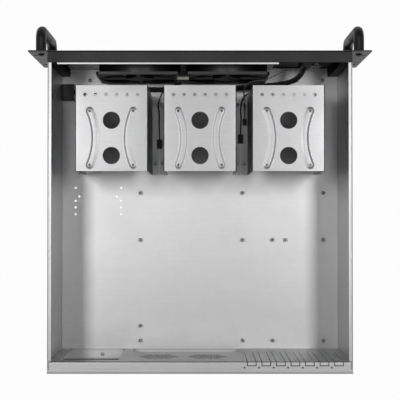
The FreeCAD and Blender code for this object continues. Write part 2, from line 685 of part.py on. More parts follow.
def make_drive_cage(place, label):
    x, top, low = cage_x(place), CAGE_TOP, FLOOR_TOP
    half, foot = "cage_width/2", "(cage_width/2 + cage_foot)"
    outer, inner = "bend + steel", "bend"
    left, right = f"{x}-{half}", f"{x}+{half}"
    cage = folded("cage_blank", "XZ_Plane", [
        (f"{x}-{foot}", low), (left + " + steel", low, outer), (left + " + steel", top + " - steel", inner),
        (right + " - steel", top + " - steel", inner), (right + " - steel", low, outer),
        (f"{x}+{foot}", low), (f"{x}+{foot}", low + " + steel"), (right, low + " + steel", inner),
        (right, top, outer), (left, top, outer), (left, low + " + steel", inner),
        (f"{x}-{foot}", low + " + steel")], "cage_front", "cage_front + cage_length")
    beads = [bead_band(x, sign, top + " - steel/2", "bead_width", "bead_rise + steel/2") for sign in (-1, 1)]
    raised = fuse("cage_raised", [cage] + beads)
    under = [bead_band(x, sign, top + " - steel - 1", "bead_width - 2*steel", "bead_rise + 1")
             for sign in (-1, 1)]
    pressed = cut("cage_pressed", raised, under)
    z, through = top + " - steel - 1", "steel + bead_rise + 2"
    tools = [rod("Z", "cage_row_hole", f"{x} + {i - 2.5}*cage_row_pitch", "cage_front + cage_row", z, through)
             for i in range(6)]
    tools += [rod("Z", "cage_window", x, f"cage_front + cage_window_{i}", z, through) for i in (1, 2)]
    tools += [rod("Z", "drive_hole", f"{x}{sx}drive_pitch_x/2", f"cage_front + drive_first + {sy}*drive_pitch_y",
                  z, through) for sx in "-+" for sy in (0, 1)]
    tools += [rod("Z", "screw + screw_play", sx, sy, low + " - 1", "steel + 2")
              for sx, sy in cage_screw_places()[4 * place + 4:4 * place + 8]]
    for bay in range(4):
        for y in ("cage_front + bay_front", "cage_front + bay_front + bay_span"):
            for start in (left + " - 1", right + " - steel - 1"):
                tools.append(rod("X", "bay_hole", start, y, f"{low} + bay_low + {bay}*bay_pitch", "steel + 2"))
    node(cut(label, pressed, tools), label)


# --- handles, standoffs, screws ------------------------------------------------------------------
def make_handle(side, label):
    """A round bar bent twice, with a tapped hole up each arm."""
    bar, pitch, bend = value("handle_bar/2"), value("handle_pitch/2"), value("handle_bend")
    face, grip = value("-panel_steel"), value("-panel_steel - handle_reach + handle_bar/2")
    diagonal = bend * (1 - math.sqrt(0.5))
    low, high = -pitch, pitch
    path = Part.Wire([
        Part.makeLine(FreeCAD.Vector(0, face, low), FreeCAD.Vector(0, grip + bend, low)),
        Part.Arc(FreeCAD.Vector(0, grip + bend, low), FreeCAD.Vector(0, grip + diagonal, low + diagonal),
                 FreeCAD.Vector(0, grip, low + bend)).toShape(),
        Part.makeLine(FreeCAD.Vector(0, grip, low + bend), FreeCAD.Vector(0, grip, high - bend)),
        Part.Arc(FreeCAD.Vector(0, grip, high - bend), FreeCAD.Vector(0, grip + diagonal, high - diagonal),
                 FreeCAD.Vector(0, grip + bend, high)).toShape(),
        Part.makeLine(FreeCAD.Vector(0, grip + bend, high), FreeCAD.Vector(0, face, high))])
    ring = Part.Wire(Part.makeCircle(bar, FreeCAD.Vector(0, face, low), Y_AXIS))
    handle = path.makePipeShell([ring], True, False)
    hole = value("handle_screw/2 + screw_play/2")
    depth = value("handle_screw_length - panel_steel + 1")
    for z in (low, high):
        handle = handle.cut(Part.makeCylinder(hole, depth, FreeCAD.Vector(0, face, z), -Y_AXIS))
    item = doc.addObject("Part::Feature", label)
    item.Shape = handle
    node(put(item, f"{side}*handle_x", "0", "0"), label)


def make_standoffs():
    solids = []
    for column, row in BOARD_HOLES:
        x = f"(board_x - {BOARD_COLUMNS[column] * INCH})"
        y = f"(board_y + {BOARD_ROWS[row] * INCH})"
        post = rod("Z", "standoff", x, y, FLOOR_TOP, "standoff_height")
        thread = rod("Z", "board_thread", x, y, FLOOR_TOP + " + 1", "standoff_height")
        solids.append(cut("standoff", post, [thread]))
    group = doc.addObject("Part::Compound", "standoffs")
    group.Links = solids
    node(group, "standoffs")


def turned_screw(label, shank, head, height, length):
    """A pan-head screw about Z: the head stands on z = 0 and the shank runs down."""
    body = doc.addObject("PartDesign::Body", label)
    sketch = plane_sketch(body, "XZ_Plane", "0")
    outline(sketch, [("0", f"-({length})"), (f"({shank})/2", f"-({length})"), (f"({shank})/2", "0"),
                     (f"({head})/2", "0"), (f"({head})/2", height), ("0", height)])
    turn = body.newObject("PartDesign::Revolution", label + "_turn")
    turn.Profile = sketch
    turn.ReferenceAxis = (sketch, ["V_Axis"])
    turn.Angle = 360
    return body


def screw_group(label, places):
    """Screws of one group. Each place is a screw, a point and the direction in which its head looks."""
    solids = []
    for master, x, y, z, way in places:
        copy = master.Shape.copy()
        copy.Placement = FreeCAD.Placement(FreeCAD.Vector(value(x), value(y), value(z)),
                                           FreeCAD.Rotation(Z_AXIS, way)).multiply(copy.Placement)
        solids.append(copy)
    group = doc.addObject("Part::Feature", label)
    group.Shape = Part.makeCompound(solids)
    node(group, label)


def make_screws():
    small, floor, flange = (turned_screw(word, "screw", "screw_head", "screw_head_height", word + "_length")
                            for word in ("screw", "floor_screw", "flange_screw"))
    large = turned_screw("handle_screw", "handle_screw", "handle_screw_head", "handle_screw_head_height",
                         "handle_screw_length")
    doc.recompute()
    on_foot = FLOOR_TOP + " + steel"
    screw_group("handle_screws", [(large, f"{sx}*handle_x", "0", f"{sz}*handle_pitch/2", Y_AXIS)
                                  for sx in (-1, 1) for sz in (-1, 1)])
    screw_group("fan_screws", [(small, x, "web_front", z, -Y_AXIS) for x, z in fan_screw_places()])
    screw_group("cage_screws", [(floor, x, y, on_foot, Z_AXIS) for x, y in cage_screw_places()])
    bracket = [x for x in FRONT_SCREWS_X if x > value("bracket_low")]
    bare = [x for x in FRONT_SCREWS_X if x not in bracket]
    screw_group("floor_screws",
                [(flange, str(x), FRONT_SCREW_Y, on_foot, Z_AXIS) for x in bracket]
                + [(flange, str(x), FRONT_SCREW_Y, FLOOR_TOP, Z_AXIS) for x in bare]
                + [(floor, str(x), REAR_SCREW_Y, on_foot, Z_AXIS) for x in REAR_SCREWS_X])
    screw_group("side_screws", [(small, f"{sx}*tray_width/2", y, str(z), X_AXIS * sx)
                                for sx in (-1, 1) for y in (POST_SCREW_Y, REAR_SCREW_Y)
                                for z in SIDE_SCREW_HEIGHTS])


# --- controls ------------------------------------------------------------------------------------
def make_controls():
    left, right = "control_x - control_width/2", "control_x + control_width/2"
    case = block((left, right), ("0", "control_depth"), ("control_low", "control_high"))
    bores = [rod("Y", "power_plunger + 2*button_play", "control_x", "-1", "power_z", "bore_rear + 1"),
             rod("Y", "reset_plunger + 2*button_play", "control_x", "-1", "reset_z", "bore_rear + 1")]
    bores += [rod("Y", "light + screw_play", "control_x", "-1", f"light_z - {i}*light_pitch",
                  "light_rear + 1") for i in range(3)]
    node(cut("control_housing", case, bores), "control_housing")
    for name in ("power", "reset"):
        front = "-panel_steel - button_out"
        cap = rod("Y", f"{name}_cap", "control_x", front, f"{name}_z", f"button_gap - ({front})")
        plunger = rod("Y", f"{name}_plunger", "control_x", "button_gap", f"{name}_z",
                      "plunger_rear - button_gap")
        node(fuse(f"{name}_button", [cap, plunger]), f"{name}_button")
    lights = doc.addObject("Part::Compound", "status_lights")
    lights.Links = [rod("Y", "light", "control_x", "-panel_steel - light_out", f"light_z - {i}*light_pitch",
                        "light_rear + panel_steel + light_out") for i in range(3)]
    node(lights, "status_lights")


def make_usb():
    left, right = "usb_x - usb_board_width/2", "usb_x + usb_board_width/2"
    board = block((left, right), ("usb_board_front", "usb_board_front + usb_board_thick"),
                  ("usb_board_low", "usb_board_high"))
    node(board, "usb_board")
    shells, tongues = [], []
    for side in "-+":
        z = f"(usb_z{side}usb_pitch/2)"
        wide, tall = "usb_width/2", "usb_height/2"
        outer = block((f"usb_x - {wide}", f"usb_x + {wide}"), ("-panel_steel + 0.5", "usb_board_front"),
                      (f"{z} - {tall}", f"{z} + {tall}"))
        inner = block((f"usb_x - {wide} + usb_wall", f"usb_x + {wide} - usb_wall"),
                      ("-panel_steel - 1", "usb_board_front + 1"),
                      (f"{z} - {tall} + usb_wall", f"{z} + {tall} - usb_wall"))
        shells.append(cut("usb_shell", outer, [inner]))
        tongues.append(block(("usb_x - usb_width/2 + 1", "usb_x + usb_width/2 - 1"),
                             ("1", "usb_board_front"), (f"{z} + 0.2", f"{z} + 2.0")))
    for label, solids in (("usb_shells", shells), ("usb_tongues", tongues)):
        group = doc.addObject("Part::Compound", label)
        group.Links = solids
        node(group, label)
    spacers = doc.addObject("Part::Compound", "usb_spacers")
    spacers.Links = [rod("Y", "usb_spacer", "usb_x", "0", z, "usb_board_front")
                     for z in ("usb_board_low + usb_spacer", "usb_board_high - usb_spacer")]
    node(spacers, "usb_spacers")


# --- leads ---------------------------------------------------------------------------------------
# Each route is a list of points that the lead's line turns at.
FRONT_LEAD = [(-153.6, 10.4, 6.0), (-150.5, 18.7, 4.4), (-145.5, 25.5, 1.4), (-138.5, 30.3, -2.8),
              (-129.4, 32.9, -8.3), (-115.8, 34.2, -18.3), (-98.5, 34.9, -31.0), (-80.0, 34.3, -45.0),
              (-59.5, 34.8, -58.0), (-36.0, 34.2, -69.5), (-9.5, 34.8, -77.4), (20.0, 34.0, -81.1),
              (53.0, 35.2, -81.3), (88.0, 34.4, -81.3), (122.0, 36.0, -81.3), (151.0, 35.8, -81.0),
              (174.0, 38.5, -80.5), (194.0, 38.5, -80.5)]
SIGNAL_LEAD = [(-150.1, 11.0, 24.0), (-148.8, 13.7, 24.0), (-146.7, 15.8, 23.7), (-143.9, 17.1, 23.2),
               (-139.0, 17.7, 22.2), (-129.5, 17.4, 19.5), (-119.5, 20.0, 16.0), (-108.5, 25.0, 11.0),
               (-98.0, 30.4, 7.0), (-85.0, 30.6, 3.0), (-74.5, 32.2, -3.0), (-68.0, 35.8, -12.0),
               (-65.8, 41.0, -24.0), (-66.5, 47.0, -38.0), (-67.0, 53.0, -52.0), (-68.2, 58.5, -65.0),
               (-69.0, 64.0, -76.0), (-69.0, 72.0, -82.0), (-69.0, 80.0, -82.0)]
FAN_LEAD_LEFT = [(-94.0, 28.0, -44.0), (-94.0, 32.0, -44.0), (-93.2, 35.2, -45.2), (-91.6, 37.8, -47.4),
                 (-87.6, 40.0, -52.2), (-80.0, 41.8, -60.4), (-70.6, 43.4, -69.5), (-64.5, 52.0, -78.0),
                 (-62.2, 64.0, -83.1), (-63.8, 79.0, -83.2), (-62.6, 93.0, -81.8), (-62.6, 104.0, -81.8)]
FAN_LEAD_RIGHT = [(36.0, 28.0, 38.0), (36.0, 32.0, 38.0), (35.3, 35.6, 36.5), (34.1, 38.3, 34.0),
                  (32.9, 39.7, 30.9), (31.2, 39.7, 26.2), (28.8, 38.0, 19.0), (28.0, 36.0, 10.0),
                  (32.5, 35.8, 0.0), (40.0, 36.5, -14.0), (49.0, 38.5, -29.0), (56.5, 43.0, -44.0),
                  (61.5, 51.0, -58.0), (64.0, 62.0, -70.0), (62.2, 75.0, -79.0), (63.4, 88.0, -83.0),
                  (62.3, 101.0, -81.8), (62.3, 112.0, -81.8)]


def lead_tube(label, route, diameter, face=None):
    """A tube along straight runs joined by tangent arcs, each as large as its two runs allow.

    A lead that leaves a face at a slant starts behind it and is cut flush with it.
    """
    points = [FreeCAD.Vector(*p) for p in route]
    edges, here = [], points[0]
    for i in range(1, len(points) - 1):
        before, after = points[i] - points[i - 1], points[i + 1] - points[i]
        half = before.getAngle(after) / 2
        reach = 0.45 * min(before.Length, after.Length)
        print(f"{label} point {i}: arc radius {reach / math.tan(half):.1f}, turn {math.degrees(2 * half):.0f}")
        into = points[i] - FreeCAD.Vector(before).normalize() * reach
        out = points[i] + FreeCAD.Vector(after).normalize() * reach
        inward = (FreeCAD.Vector(after).normalize() - FreeCAD.Vector(before).normalize()).normalize()
        radius = reach / math.tan(half)
        middle = points[i] + inward * (radius / math.cos(half) - radius)
        edges += [Part.LineSegment(here, into).toShape(), Part.Arc(into, middle, out).toShape()]
        here = out
    edges.append(Part.LineSegment(here, points[-1]).toShape())
    path = Part.Wire(edges)
    ring = Part.Wire(Part.makeCircle(diameter / 2, points[0], points[1] - points[0]))
    tube = path.makePipeShell([ring], True, False)
    ratio = tube.Volume / (math.pi * diameter ** 2 / 4 * path.Length)
    print(f"{label}: length {path.Length:.1f}, volume over section times length {ratio:.4f}")
    if face is not None:
        room = 2 * diameter
        corner = FreeCAD.Vector(points[0].x - room, face - room, points[0].z - room)
        tube = tube.cut(Part.makeBox(2 * room, room, 2 * room, corner))
    item = doc.addObject("Part::Feature", label)
    item.Shape = tube
    node(item, label)


def make_leads():
    lead_tube("front_lead", FRONT_LEAD, value("front_lead"), value("control_depth"))
    lead_tube("fan_lead_left", FAN_LEAD_LEFT, value("fan_lead"))
    lead_tube("fan_lead_right", FAN_LEAD_RIGHT, value("fan_lead"))
    node(block(("front_plug_x", "front_plug_x + front_plug_width"),
               ("front_plug_y", "front_plug_y + front_plug_length"),
               (FLOOR_TOP, FLOOR_TOP + " + front_plug_height")), "front_plug")
    lead_tube("signal_lead", SIGNAL_LEAD, value("signal_lead"), value("control_depth"))
    for label, kind, route in (("fan_plug_left", "fan", FAN_LEAD_LEFT), ("signal_plug", "signal", SIGNAL_LEAD),
                               ("fan_plug_right", "fan", FAN_LEAD_RIGHT)):
        x, y, z = route[-1]
        half = f"{kind}_plug_width/2"
        node(block((f"{x} - {half}", f"{x} + {half}"), (f"{y}", f"{y} + {kind}_plug_length"),
                   (FLOOR_TOP + " + steel", f"{FLOOR_TOP} + steel + {kind}_plug_height")), label)
    node(block(("fan_middle - clip_width/2", "fan_middle + clip_width/2"), (FAN_REAR, FAN_REAR + " + clip_depth"),
               ("clip_z - clip_height/2", "clip_z + clip_height/2")), "cable_clip")


make_front_panel()
make_corner_post(-1, "corner_post_left")
make_corner_post(1, "corner_post_right")
make_base_tray()
make_rear_panel()
make_fan_bracket()
for side, hand in (("-", "left"), ("+", "right")):
    make_fan_frame(side, f"fan_frame_{hand}")
    make_fan_stator(side, f"fan_stator_{hand}")
    make_fan_rotor(side, f"fan_rotor_{hand}")
for place, hand in ((-1, "left"), (0, "middle"), (1, "right")):
    make_drive_cage(place, f"drive_cage_{hand}")
make_handle(-1, "handle_left")
make_handle(1, "handle_right")
make_standoffs()
make_controls()
make_usb()
make_leads()
make_screws()
doc.recompute()

for item in doc.Objects:
    if "Invalid" in item.State or "Error" in item.State:
        raise RuntimeError(f"{item.Label} did not build: {item.State}")
for item in nodes:
    if item.Shape.isNull() or not item.Shape.isValid():
        raise RuntimeError(f"{item.Label} has no valid shape")
os.makedirs("parts", exist_ok=True)
for item in nodes:
    item.Shape.exportStep(f"parts/{item.Label}.step")
    print(item.Label, len(item.Shape.Solids), round(item.Shape.Volume, 1))
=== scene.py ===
import math
import bmesh
import bpy
import numpy as np
from mathutils import Matrix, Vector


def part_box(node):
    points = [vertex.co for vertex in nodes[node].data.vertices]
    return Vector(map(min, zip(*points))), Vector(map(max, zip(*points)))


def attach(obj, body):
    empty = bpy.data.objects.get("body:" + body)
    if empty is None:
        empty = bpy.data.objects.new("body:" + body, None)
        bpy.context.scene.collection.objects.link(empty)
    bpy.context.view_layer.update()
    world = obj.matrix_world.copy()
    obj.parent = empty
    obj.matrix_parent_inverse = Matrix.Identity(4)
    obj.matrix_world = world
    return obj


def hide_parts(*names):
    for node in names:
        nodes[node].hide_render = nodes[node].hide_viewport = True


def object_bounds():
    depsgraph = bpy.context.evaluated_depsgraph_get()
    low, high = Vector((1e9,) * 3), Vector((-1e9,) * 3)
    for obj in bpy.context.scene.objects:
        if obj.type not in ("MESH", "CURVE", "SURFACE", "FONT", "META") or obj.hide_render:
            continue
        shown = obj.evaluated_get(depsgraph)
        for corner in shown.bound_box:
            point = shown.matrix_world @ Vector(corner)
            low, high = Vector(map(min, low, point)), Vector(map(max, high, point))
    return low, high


# Empty 4U rackmount server case with its lid off: finishes, grips, leads and fasteners.
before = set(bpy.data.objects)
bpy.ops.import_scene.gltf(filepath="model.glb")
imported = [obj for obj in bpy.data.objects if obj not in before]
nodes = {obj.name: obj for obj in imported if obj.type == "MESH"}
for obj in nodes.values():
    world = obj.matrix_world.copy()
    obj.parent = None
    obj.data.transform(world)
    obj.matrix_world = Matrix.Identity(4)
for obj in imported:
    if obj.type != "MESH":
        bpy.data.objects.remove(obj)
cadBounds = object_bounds()
scene = bpy.context.scene
mm = 0.001
weldGap = 0.002  # millimetres; corners closer than this are one corner
print("frame loaded:", len(nodes), "nodes")


def boxOf(name):
    low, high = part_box(name)
    return np.array(low), np.array(high)


def linearColour(hexText):
    # sRGB hex to the linear values that a shader takes
    srgb = [int(hexText[i:i + 2], 16) / 255 for i in (1, 3, 5)]
    return tuple(c / 12.92 if c <= 0.04045 else ((c + 0.055) / 1.055) ** 2.4 for c in srgb) + (1.0,)


def addNode(tree, kind, values=None, links=None, feeds=None, **settings):
    # one node: its settings, its sockets' values, the outputs that reach it and the inputs it feeds
    made = tree.nodes.new("ShaderNode" + kind)
    for name, setting in settings.items():
        setattr(made, name, setting)
    for socket, value in (values or {}).items():
        made.inputs[socket].default_value = value
    for socket, source in (links or {}).items():
        tree.links.new(source, made.inputs[socket])
    for output, target in (feeds or {}).items():
        tree.links.new(made.outputs[output], target)
    return made


def newFinish(name, colour, **sockets):
    material = bpy.data.materials.new(name)
    material.use_nodes = True
    tree = material.node_tree
    shader = tree.nodes["Principled BSDF"]
    shader.inputs["Base Color"].default_value = linearColour(colour)
    material.diffuse_color = linearColour(colour)
    for socket, value in sockets.items():
        shader.inputs[socket.replace("_", " ")].default_value = value
    place = addNode(tree, "TexCoord").outputs["Object"]
    return material, tree, shader, place


def perMetre(size):
    # texture scale for a feature of this size in millimetres
    return 1000.0 / size


def meshFromGrids(name, grids, wrap=True, capped=True, smooth=True):
    # grids is (pieces, rows, columns, 3): quads between neighbouring rows and columns, the last
    # column joined to the first where wrap is set, and a flat cap over the first and last rows
    grids = np.asarray(grids, dtype=float)
    count, rows, columns = grids.shape[:3]
    number = np.arange(count * rows * columns).reshape(count, rows, columns)
    following = np.roll(number, -1, axis=2)
    if not wrap:
        number, following = number[:, :, :-1], following[:, :, :-1]
    quads = np.stack([number[:, :-1], following[:, :-1], following[:, 1:], number[:, 1:]], axis=-1)
    faces = quads.reshape(-1, 4).tolist()
    if capped:
        full = np.arange(count * rows * columns).reshape(count, rows, columns)
        faces += full[:, 0, ::-1].tolist() + full[:, -1].tolist()
    mesh = bpy.data.meshes.new(name)
    mesh.from_pydata(grids.reshape(-1, 3).tolist(), [], faces)
    if wrap and capped:
        loose = bmesh.new()
        loose.from_mesh(mesh)
        bmesh.ops.recalc_face_normals(loose, faces=loose.faces)
        loose.to_mesh(mesh)
        loose.free()
    flags = np.full(len(mesh.polygons), smooth)
    if smooth and capped:
        flags[len(faces) - 2 * count:] = False
    mesh.polygons.foreach_set("use_smooth", flags)
    piece = bpy.data.objects.new(name, mesh)
    scene.collection.objects.link(piece)
    return piece


def dress(piece, material, body="chassis", replaced=()):
    piece.data.materials.clear()
    piece.data.materials.append(material)
    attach(piece, body)
    if replaced:
        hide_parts(*replaced)
    return piece


def mergedSolid(name):
    # the corners and triangles of a node's own solid, with corners in the same place joined
    mesh = nodes[name].data
    spots, corners = np.empty(len(mesh.vertices) * 3), np.empty(len(mesh.loops), dtype=int)
    mesh.vertices.foreach_get("co", spots)
    mesh.loops.foreach_get("vertex_index", corners)
    spots = spots.reshape(-1, 3)
    grid = np.round(spots / (weldGap * mm))
    _, first, joined = np.unique(grid, axis=0, return_index=True, return_inverse=True)
    faces = joined.ravel()[corners.reshape(-1, 3)]
    whole = (faces != np.roll(faces, 1, axis=1)).all(axis=1)
    return spots[first], faces[whole]


def sharpEdges(piece, degrees=35):
    # smooth shading that stops at edges sharper than this
    piece.data.set_sharp_from_angle(angle=math.radians(degrees))


def alongPath(path, reference):
    # unit tangent, side and lift at each point of a path, the side square to a fixed direction
    tangent = np.gradient(path, axis=0)
    tangent /= np.linalg.norm(tangent, axis=1, keepdims=True)
    side = np.cross(tangent, reference)
    side /= np.linalg.norm(side, axis=1, keepdims=True)
    return tangent, side, np.cross(side, tangent)


def ringAlong(path, reference, radius, columns):
    # a circle of the given radius, one value or one for each point, carried along the path
    _, side, lift = alongPath(path, reference)
    turn = np.linspace(0, 2 * np.pi, columns, endpoint=False)
    radius = np.broadcast_to(radius, len(path))[:, None, None]
    around = side[:, None] * np.cos(turn)[None, :, None] + lift[:, None] * np.sin(turn)[None, :, None]
    return path[:, None] + around * radius


def roundedBoxes(low, high, radius, columns=6):
    # boxes with all edges rounded: a rounded rectangle carried along Z, its inset following a
    # quarter circle near both ends; low and high are (pieces, 3)
    low, high = np.atleast_2d(low), np.atleast_2d(high)
    bend = np.linspace(0, np.pi / 2, columns)
    inset = np.concatenate([1 - np.sin(bend), 1 - np.sin(bend[::-1])]) * radius
    height = np.concatenate([(1 - np.cos(bend)) * radius, -(1 - np.cos(bend[::-1])) * radius])
    upper = np.repeat([False, True], columns)
    corner = np.concatenate([bend + quarter * np.pi / 2 for quarter in range(4)])
    signX = np.repeat([1, -1, -1, 1], columns)
    signY = np.repeat([1, 1, -1, -1], columns)
    half = (high - low) / 2
    centre = (high + low) / 2
    arc = np.maximum(radius - inset[:, None], 1e-5)
    offsetX = signX * (half[:, 0, None, None] - radius) + np.cos(corner) * arc
    offsetY = signY * (half[:, 1, None, None] - radius) + np.sin(corner) * arc
    levels = np.where(upper, high[:, 2, None], low[:, 2, None]) + height[None]
    levels = np.broadcast_to(levels[..., None], offsetX.shape)
    centre = centre[:, :2, None, None]
    return np.stack([centre[:, 0] + offsetX, centre[:, 1] + offsetY, levels], axis=-1)


viewpoint = {"x": 0.0, "y": 0.236, "z": 1.7435, "tiltDegrees": 0.968, "lens": 106.56}
studio = {"world": 0.12, "floorSize": 8.0, "whiteShare": 0.97,
          "aim": (0.0, 0.22, 0.0), "farClip": 30.0, "sensor": 36.0}
# the strip of floor behind the rear wall that is painted grey as shade, in metres: each pair is where its
# edge starts and ends; slots and opening are its two painted shade greys
shade = {"side": (0.224, 0.230), "front": (0.434, 0.426), "rear": (0.462, 0.476),
         "supply": (0.085, 0.115), "slots": "#2C2C2D", "opening": "#8C8C8D"}
# each soft box: radiance, centre in metres, width and length in metres; all aim at the middle
softBoxes = {"overhead panel": (0.42, (0.0, 0.42, 2.9), 1.6, 1.2),
             "left soft box": (20.0, (0.62, 0.0, 2.0), 0.24, 0.6),
             "right soft box": (17.8, (-0.62, 0.0, 2.0), 0.24, 0.6)}


def makeCamera():
    tilt = math.radians(viewpoint["tiltDegrees"])
    lens = bpy.data.cameras.new("camera")
    lens.sensor_width = studio["sensor"]
    lens.lens = viewpoint["lens"]
    lens.clip_end = studio["farClip"]
    camera = bpy.data.objects.new("camera", lens)
    camera.matrix_world = Matrix(((-1, 0, 0, viewpoint["x"]),
                                  (0, -math.cos(tilt), math.sin(tilt), viewpoint["y"]),
                                  (0, math.sin(tilt), math.cos(tilt), viewpoint["z"]),
                                  (0, 0, 0, 1)))
    scene.collection.objects.link(camera)
    scene.camera = camera


def makeFloor():
    # white paper that the camera sees as white, apart from a strip close behind the rear wall where
    # shade is painted: it is coloured grey and gets no white, so that the slots look dark. The share of
    # white is the greatest of three smooth steps, across, in front and behind, and the painted
    # shade goes from dark to light over supply
    half, level = studio["floorSize"] / 2, cadBounds[0][2]
    grid = np.array([[[[-half, -half, level], [half, -half, level]],
                      [[-half, half, level], [half, half, level]]]])
    floor = meshFromGrids("floor", grid, wrap=False, capped=False, smooth=False)
    material, tree, shader, place = newFinish("matt white paper sweep", "#FFFFFF", Roughness=0.9)
    spot = addNode(tree, "SeparateXYZ", links={0: place})
    across = addNode(tree, "Math", links={0: spot.outputs["X"]}, operation="ABSOLUTE")
    # share of the floor clear of the painted shade; the painted strip is where all three steps are low
    clearOfShade = addNode(tree, "MapRange", {"From Min": shade["side"][0], "From Max": shade["side"][1]},
                  {"Value": across.outputs[0]}, interpolation_type="SMOOTHSTEP")
    for start, end in (shade["front"], shade["rear"]):
        along = addNode(tree, "MapRange", {"From Min": start, "From Max": end},
                        {"Value": spot.outputs["Y"]},
                        interpolation_type="SMOOTHSTEP")
        clearOfShade = addNode(tree, "Math", links={0: clearOfShade.outputs[0], 1: along.outputs[0]}, operation="MAXIMUM")
    supply = addNode(tree, "MapRange", {"From Min": shade["supply"][0], "From Max": shade["supply"][1]},
                     {"Value": spot.outputs["X"]}, interpolation_type="SMOOTHSTEP")
    # painted shade in place of a shadow: dark grey under the slots, going to mid grey under the opening
    paintedShade = addNode(tree, "Mix", {6: linearColour(shade["slots"]), 7: linearColour(shade["opening"])},
                  {0: supply.outputs[0]}, data_type="RGBA")
    addNode(tree, "Mix", {7: (1, 1, 1, 1)}, {0: clearOfShade.outputs[0], 6: paintedShade.outputs[2]},
            {2: shader.inputs["Base Color"]}, data_type="RGBA")
    path = addNode(tree, "LightPath")
    rays = [path.outputs[f"Is {kind} Ray"] for kind in ("Camera", "Glossy", "Transmission")]
    seen = addNode(tree, "Math", links={0: rays[0], 1: rays[1]}, operation="MAXIMUM")
    seen = addNode(tree, "Math", links={0: seen.outputs[0], 1: rays[2]}, operation="MAXIMUM")
    share = addNode(tree, "Math", links={0: seen.outputs[0], 1: clearOfShade.outputs[0]}, operation="MULTIPLY")
    share = addNode(tree, "Math", {1: studio["whiteShare"]},
                    {0: share.outputs[0]}, operation="MULTIPLY")
    glow = addNode(tree, "Emission", {"Strength": 1.0})
    addNode(tree, "MixShader", links={0: share.outputs[0], 1: shader.outputs[0], 2: glow.outputs[0]},
            feeds={0: tree.nodes["Material Output"].inputs["Surface"]})
    floor.data.materials.append(material)


def makeLights():
    world = bpy.data.worlds.new("studio")
    world.use_nodes = True
    tree = world.node_tree
    tree.nodes.clear()
    path = addNode(tree, "LightPath")
    strength = addNode(tree, "MapRange", {"To Min": studio["world"], "To Max": 1.0},
                       {"Value": path.outputs["Is Camera Ray"]})
    sky = addNode(tree, "Background", {"Color": (1, 1, 1, 1)}, {"Strength": strength.outputs["Result"]})
    addNode(tree, "OutputWorld", links={"Surface": sky.outputs[0]})
    scene.world = world
    for name, (radiance, spot, width, length) in softBoxes.items():
        lamp = bpy.data.lights.new(name, "AREA")
        lamp.shape = "RECTANGLE"
        lamp.size, lamp.size_y = width, length
        lamp.energy = radiance * math.pi * width * length
        holder = bpy.data.objects.new(name, lamp)
        back = np.array(spot) - np.array(studio["aim"])
        back /= np.linalg.norm(back)
        right = np.cross((0.0, 1.0, 0.0), back)
        right /= np.linalg.norm(right)
        up = np.cross(back, right)
        rows = [[right[i], up[i], back[i], spot[i]] for i in range(3)]
        holder.matrix_world = Matrix(rows + [[0, 0, 0, 1]])
        scene.collection.objects.link(holder)
    scene.view_settings.view_transform = "Standard"


makeCamera()
makeFloor()
makeLights()
print("camera, floor and light made")

# sizes in millimetres of what shows on each finish
sheetMarks = {"spangle": 9.0, "grain": 0.9, "rollAcross": 2.2, "rollAlong": 90.0, "handling": 85.0}
coatMarks = {"peel": 1.1, "dust": 60.0}
wireMarks = {"dust": 9.0, "drag": 0.7}
plasticMarks = {"cloud": 25.0}
metalMarks = {"across": 4.0, "film": 3.0}
boardMarks = {"tracks": 4.0, "weave": 0.8}
windingMarks = {"turns": 3.5}
lensMarks = {"haze": 2.0}
spread = {"From Min": 0.3, "From Max": 0.7}  # the part of a noise's range that is used


def galvanisedSheet(name, dark, light, roughLow, roughHigh):
    # hot-dip galvanised steel sheet, skin-passed in the mill: dull metal with faint crystals, faint
    # rolling lines and soft patches where hands and packing rubbed it
    material, tree, shader, place = newFinish(name, light, Metallic=1.0, Roughness=roughLow)
    crystals = addNode(tree, "TexVoronoi", {"Scale": perMetre(sheetMarks["spangle"])},
                       {"Vector": place})
    across = perMetre(sheetMarks["rollAcross"])
    stretch = addNode(tree, "Mapping", {"Scale": (perMetre(sheetMarks["rollAlong"]), across, across)},
                      {"Vector": place})
    rolling = addNode(tree, "TexNoise", {"Scale": 1.0, "Detail": 3.0}, {"Vector": stretch.outputs[0]})
    patches = addNode(tree, "TexNoise", {"Scale": perMetre(sheetMarks["handling"]), "Detail": 5.0,
                                         "Roughness": 0.55}, {"Vector": place})
    grain = addNode(tree, "TexNoise", {"Scale": perMetre(sheetMarks["grain"]), "Detail": 2.0},
                    {"Vector": place})
    tone = addNode(tree, "Mix", {0: 0.18}, {2: patches.outputs["Fac"], 3: crystals.outputs["Color"]})
    tone = addNode(tree, "Mix", {0: 0.35}, {2: tone.outputs[0], 3: rolling.outputs["Fac"]})
    tone = addNode(tree, "MapRange", spread, {"Value": tone.outputs[0]})
    addNode(tree, "Mix", {6: linearColour(dark), 7: linearColour(light)}, {0: tone.outputs["Result"]},
            {2: shader.inputs["Base Color"]}, data_type="RGBA")
    addNode(tree, "MapRange", {**spread, "To Min": roughLow, "To Max": roughHigh},
            {"Value": patches.outputs["Fac"]}, {"Result": shader.inputs["Roughness"]})
    relief = addNode(tree, "Mix", {0: 0.5}, {2: grain.outputs["Fac"], 3: rolling.outputs["Fac"]})
    addNode(tree, "Bump", {"Distance": 0.012 * mm, "Strength": 0.35}, {"Height": relief.outputs[0]},
            {"Normal": shader.inputs["Normal"]})
    return material


